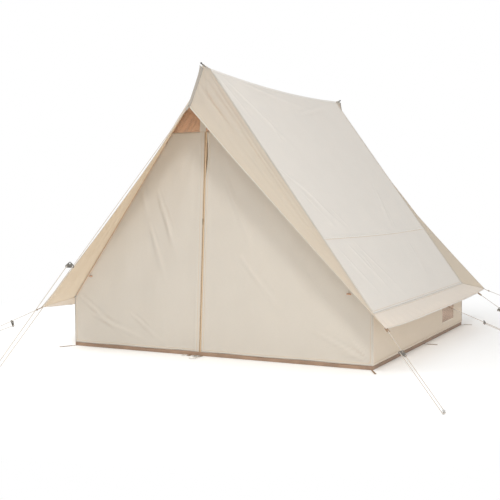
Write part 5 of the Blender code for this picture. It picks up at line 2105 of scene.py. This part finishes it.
def make_toggles():
    """Turned toggles on short loops hold the flaps when they are tied back."""
    profile = [
        (0, 0), (0.0026, 0.0002), (0.0040, 0.0012), (0.0048, 0.0030), (0.0050, 0.0055),
        (0.0048, 0.0110), (0.0039, 0.0128), (0.0036, 0.0150), (0.0039, 0.0172),
        (0.0048, 0.0190), (0.0050, 0.0245), (0.0048, 0.0270), (0.0040, 0.0288),
        (0.0026, 0.0298), (0, 0.0300),
    ]
    half = profile[-1][1] / 2
    for hand, (side, inset, z) in TOGGLES.items():
        x = side * (roof_half_width(z) - inset) - half
        start = Vector((x, -HALF_LENGTH - 0.0054, z))
        bm = bmesh.new()
        turned(bm, profile, pointing(start, (1, 0, 0)), 28)
        piece(
            f"toggle_{hand}_wood", bm, toggle_wood, "toggle",
            stands_for=[f"tie_back_toggle_{hand}"],
        )
        middle = start + Vector((half, 0, 0))
        turn = arc(middle, UP, FRONT, 0.0042, -0.4, math.pi + 0.4, 14)
        sewn = Vector((middle.x, -HALF_LENGTH - 0.0012, z))
        tail, foot = sewn + UP * 0.024, sewn - UP * 0.012
        bm = bmesh.new()
        tube(bm, [tail, mix(tail, turn[0], 0.6), *turn, foot], 0.0009, 8)
        piece(f"toggle_{hand}_loop", bm, guy_cord, "guy_cord")


class TENT_OT_stage(bpy.types.Operator):
    """Lays the studio floor, hangs the lamps and places the camera"""

    bl_idname = "tent.stage"
    bl_label = "Studio"

    def execute(self, context):
        make_stage()
        return {"FINISHED"}


class TENT_OT_guylines(bpy.types.Operator):
    """Ties a cord to each tab in use and leads it round its peg"""

    bl_idname = "tent.guylines"
    bl_label = "Guylines"

    def execute(self, context):
        make_guylines()
        return {"FINISHED"}


class TENT_OT_tensioners(bpy.types.Operator):
    """Threads a plate with three holes on each guyline"""

    bl_idname = "tent.tensioners"
    bl_label = "Tensioners"

    def execute(self, context):
        make_tensioners()
        return {"FINISHED"}


class TENT_OT_pegs(bpy.types.Operator):
    """Drives in the pegs"""

    bl_idname = "tent.pegs"
    bl_label = "Pegs"

    def execute(self, context):
        make_pegs()
        return {"FINISHED"}


class TENT_OT_roof(bpy.types.Operator):
    """Sews the two roof panels and binds the ridge"""

    bl_idname = "tent.roof"
    bl_label = "Roof"

    def execute(self, context):
        make_roof()
        return {"FINISHED"}


class TENT_OT_hoods(bpy.types.Operator):
    """Sews the hoods that reach out over both ends"""

    bl_idname = "tent.hoods"
    bl_label = "Hoods"

    def execute(self, context):
        make_hoods()
        return {"FINISHED"}


class TENT_OT_valances(bpy.types.Operator):
    """Sews the hanging strips along the eaves and their guyline tabs"""

    bl_idname = "tent.valances"
    bl_label = "Valances"

    def execute(self, context):
        make_valances()
        return {"FINISHED"}


class TENT_OT_side_walls(bpy.types.Operator):
    """Sews the side walls with their vents"""

    bl_idname = "tent.side_walls"
    bl_label = "Side walls"

    def execute(self, context):
        make_side_walls()
        return {"FINISHED"}


class TENT_OT_end_walls(bpy.types.Operator):
    """Sews the rear wall and the nets of both gables"""

    bl_idname = "tent.end_walls"
    bl_label = "Rear wall and gable nets"

    def execute(self, context):
        make_rear_wall()
        make_gable_nets()
        return {"FINISHED"}


class TENT_OT_door(bpy.types.Operator):
    """Sews the front wall with its two door flaps"""

    bl_idname = "tent.door"
    bl_label = "Front wall and door"

    def execute(self, context):
        make_front_wall()
        return {"FINISHED"}


class TENT_OT_zip(bpy.types.Operator):
    """Sews in the zip and threads its slider"""

    bl_idname = "tent.zip"
    bl_label = "Zip"

    def execute(self, context):
        make_zip()
        return {"FINISHED"}


class TENT_OT_groundsheet(bpy.types.Operator):
    """Lays the groundsheet with the straps that peg it down"""

    bl_idname = "tent.groundsheet"
    bl_label = "Groundsheet"

    def execute(self, context):
        make_groundsheet()
        return {"FINISHED"}


class TENT_OT_poles(bpy.types.Operator):
    """Plugs the pole sections together"""

    bl_idname = "tent.poles"
    bl_label = "Poles"

    def execute(self, context):
        make_poles()
        return {"FINISHED"}


class TENT_OT_hubs(bpy.types.Operator):
    """Moulds the apex hubs with their pins"""

    bl_idname = "tent.hubs"
    bl_label = "Apex hubs"

    def execute(self, context):
        make_hubs()
        return {"FINISHED"}


class TENT_OT_hood_webbing(bpy.types.Operator):
    """Sews the webbing over the middle seam of each hood"""

    bl_idname = "tent.hood_webbing"
    bl_label = "Hood webbing"

    def execute(self, context):
        make_hood_webbing()
        return {"FINISHED"}


class TENT_OT_toggles(bpy.types.Operator):
    """Ties on the toggles for the door flaps"""

    bl_idname = "tent.toggles"
    bl_label = "Toggles"

    def execute(self, context):
        make_toggles()
        return {"FINISHED"}


OPERATORS = (
    TENT_OT_stage, TENT_OT_guylines, TENT_OT_tensioners, TENT_OT_pegs, TENT_OT_roof,
    TENT_OT_hoods, TENT_OT_valances, TENT_OT_side_walls, TENT_OT_end_walls, TENT_OT_door,
    TENT_OT_zip, TENT_OT_groundsheet, TENT_OT_poles, TENT_OT_hubs, TENT_OT_hood_webbing,
    TENT_OT_toggles,
)


class TENT_PT_pieces(bpy.types.Panel):
    """Makes each group of pieces, and sets their sizes and colours"""

    bl_idname = "TENT_PT_pieces"
    bl_label = "Tent"
    bl_space_type = "VIEW_3D"
    bl_region_type = "UI"
    bl_category = "Tent"

    def draw(self, context):
        for operator in OPERATORS:
            self.layout.operator(operator.bl_idname)
        scene = context.scene
        for group in (scene.tent_sizes, scene.tent_colours, scene.tent_studio):
            box = self.layout.box()
            for name in group.__annotations__:
                box.prop(group, name)


GROUPS = {"tent_sizes": TentSizes, "tent_colours": TentColours, "tent_studio": TentStudio}


def register():
    for name, group in GROUPS.items():
        bpy.utils.register_class(group)
        setattr(bpy.types.Scene, name, bpy.props.PointerProperty(type=group))
    for shown in (*OPERATORS, TENT_PT_pieces):
        bpy.utils.register_class(shown)


def unregister():
    for shown in (TENT_PT_pieces, *reversed(OPERATORS)):
        bpy.utils.unregister_class(shown)
    for name, group in GROUPS.items():
        delattr(bpy.types.Scene, name)
        bpy.utils.unregister_class(group)


def main():
    register()
    bpy.ops.tent.stage()
    bpy.ops.tent.guylines()
    bpy.ops.tent.tensioners()
    bpy.ops.tent.pegs()
    bpy.ops.tent.roof()
    bpy.ops.tent.hoods()
    bpy.ops.tent.valances()
    bpy.ops.tent.side_walls()
    bpy.ops.tent.end_walls()
    bpy.ops.tent.door()
    bpy.ops.tent.zip()
    bpy.ops.tent.groundsheet()
    bpy.ops.tent.poles()
    bpy.ops.tent.hubs()
    bpy.ops.tent.hood_webbing()
    bpy.ops.tent.toggles()
    bpy.context.scene.view_settings.view_transform = "Standard"
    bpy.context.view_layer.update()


if __name__ == "__main__":
    main()
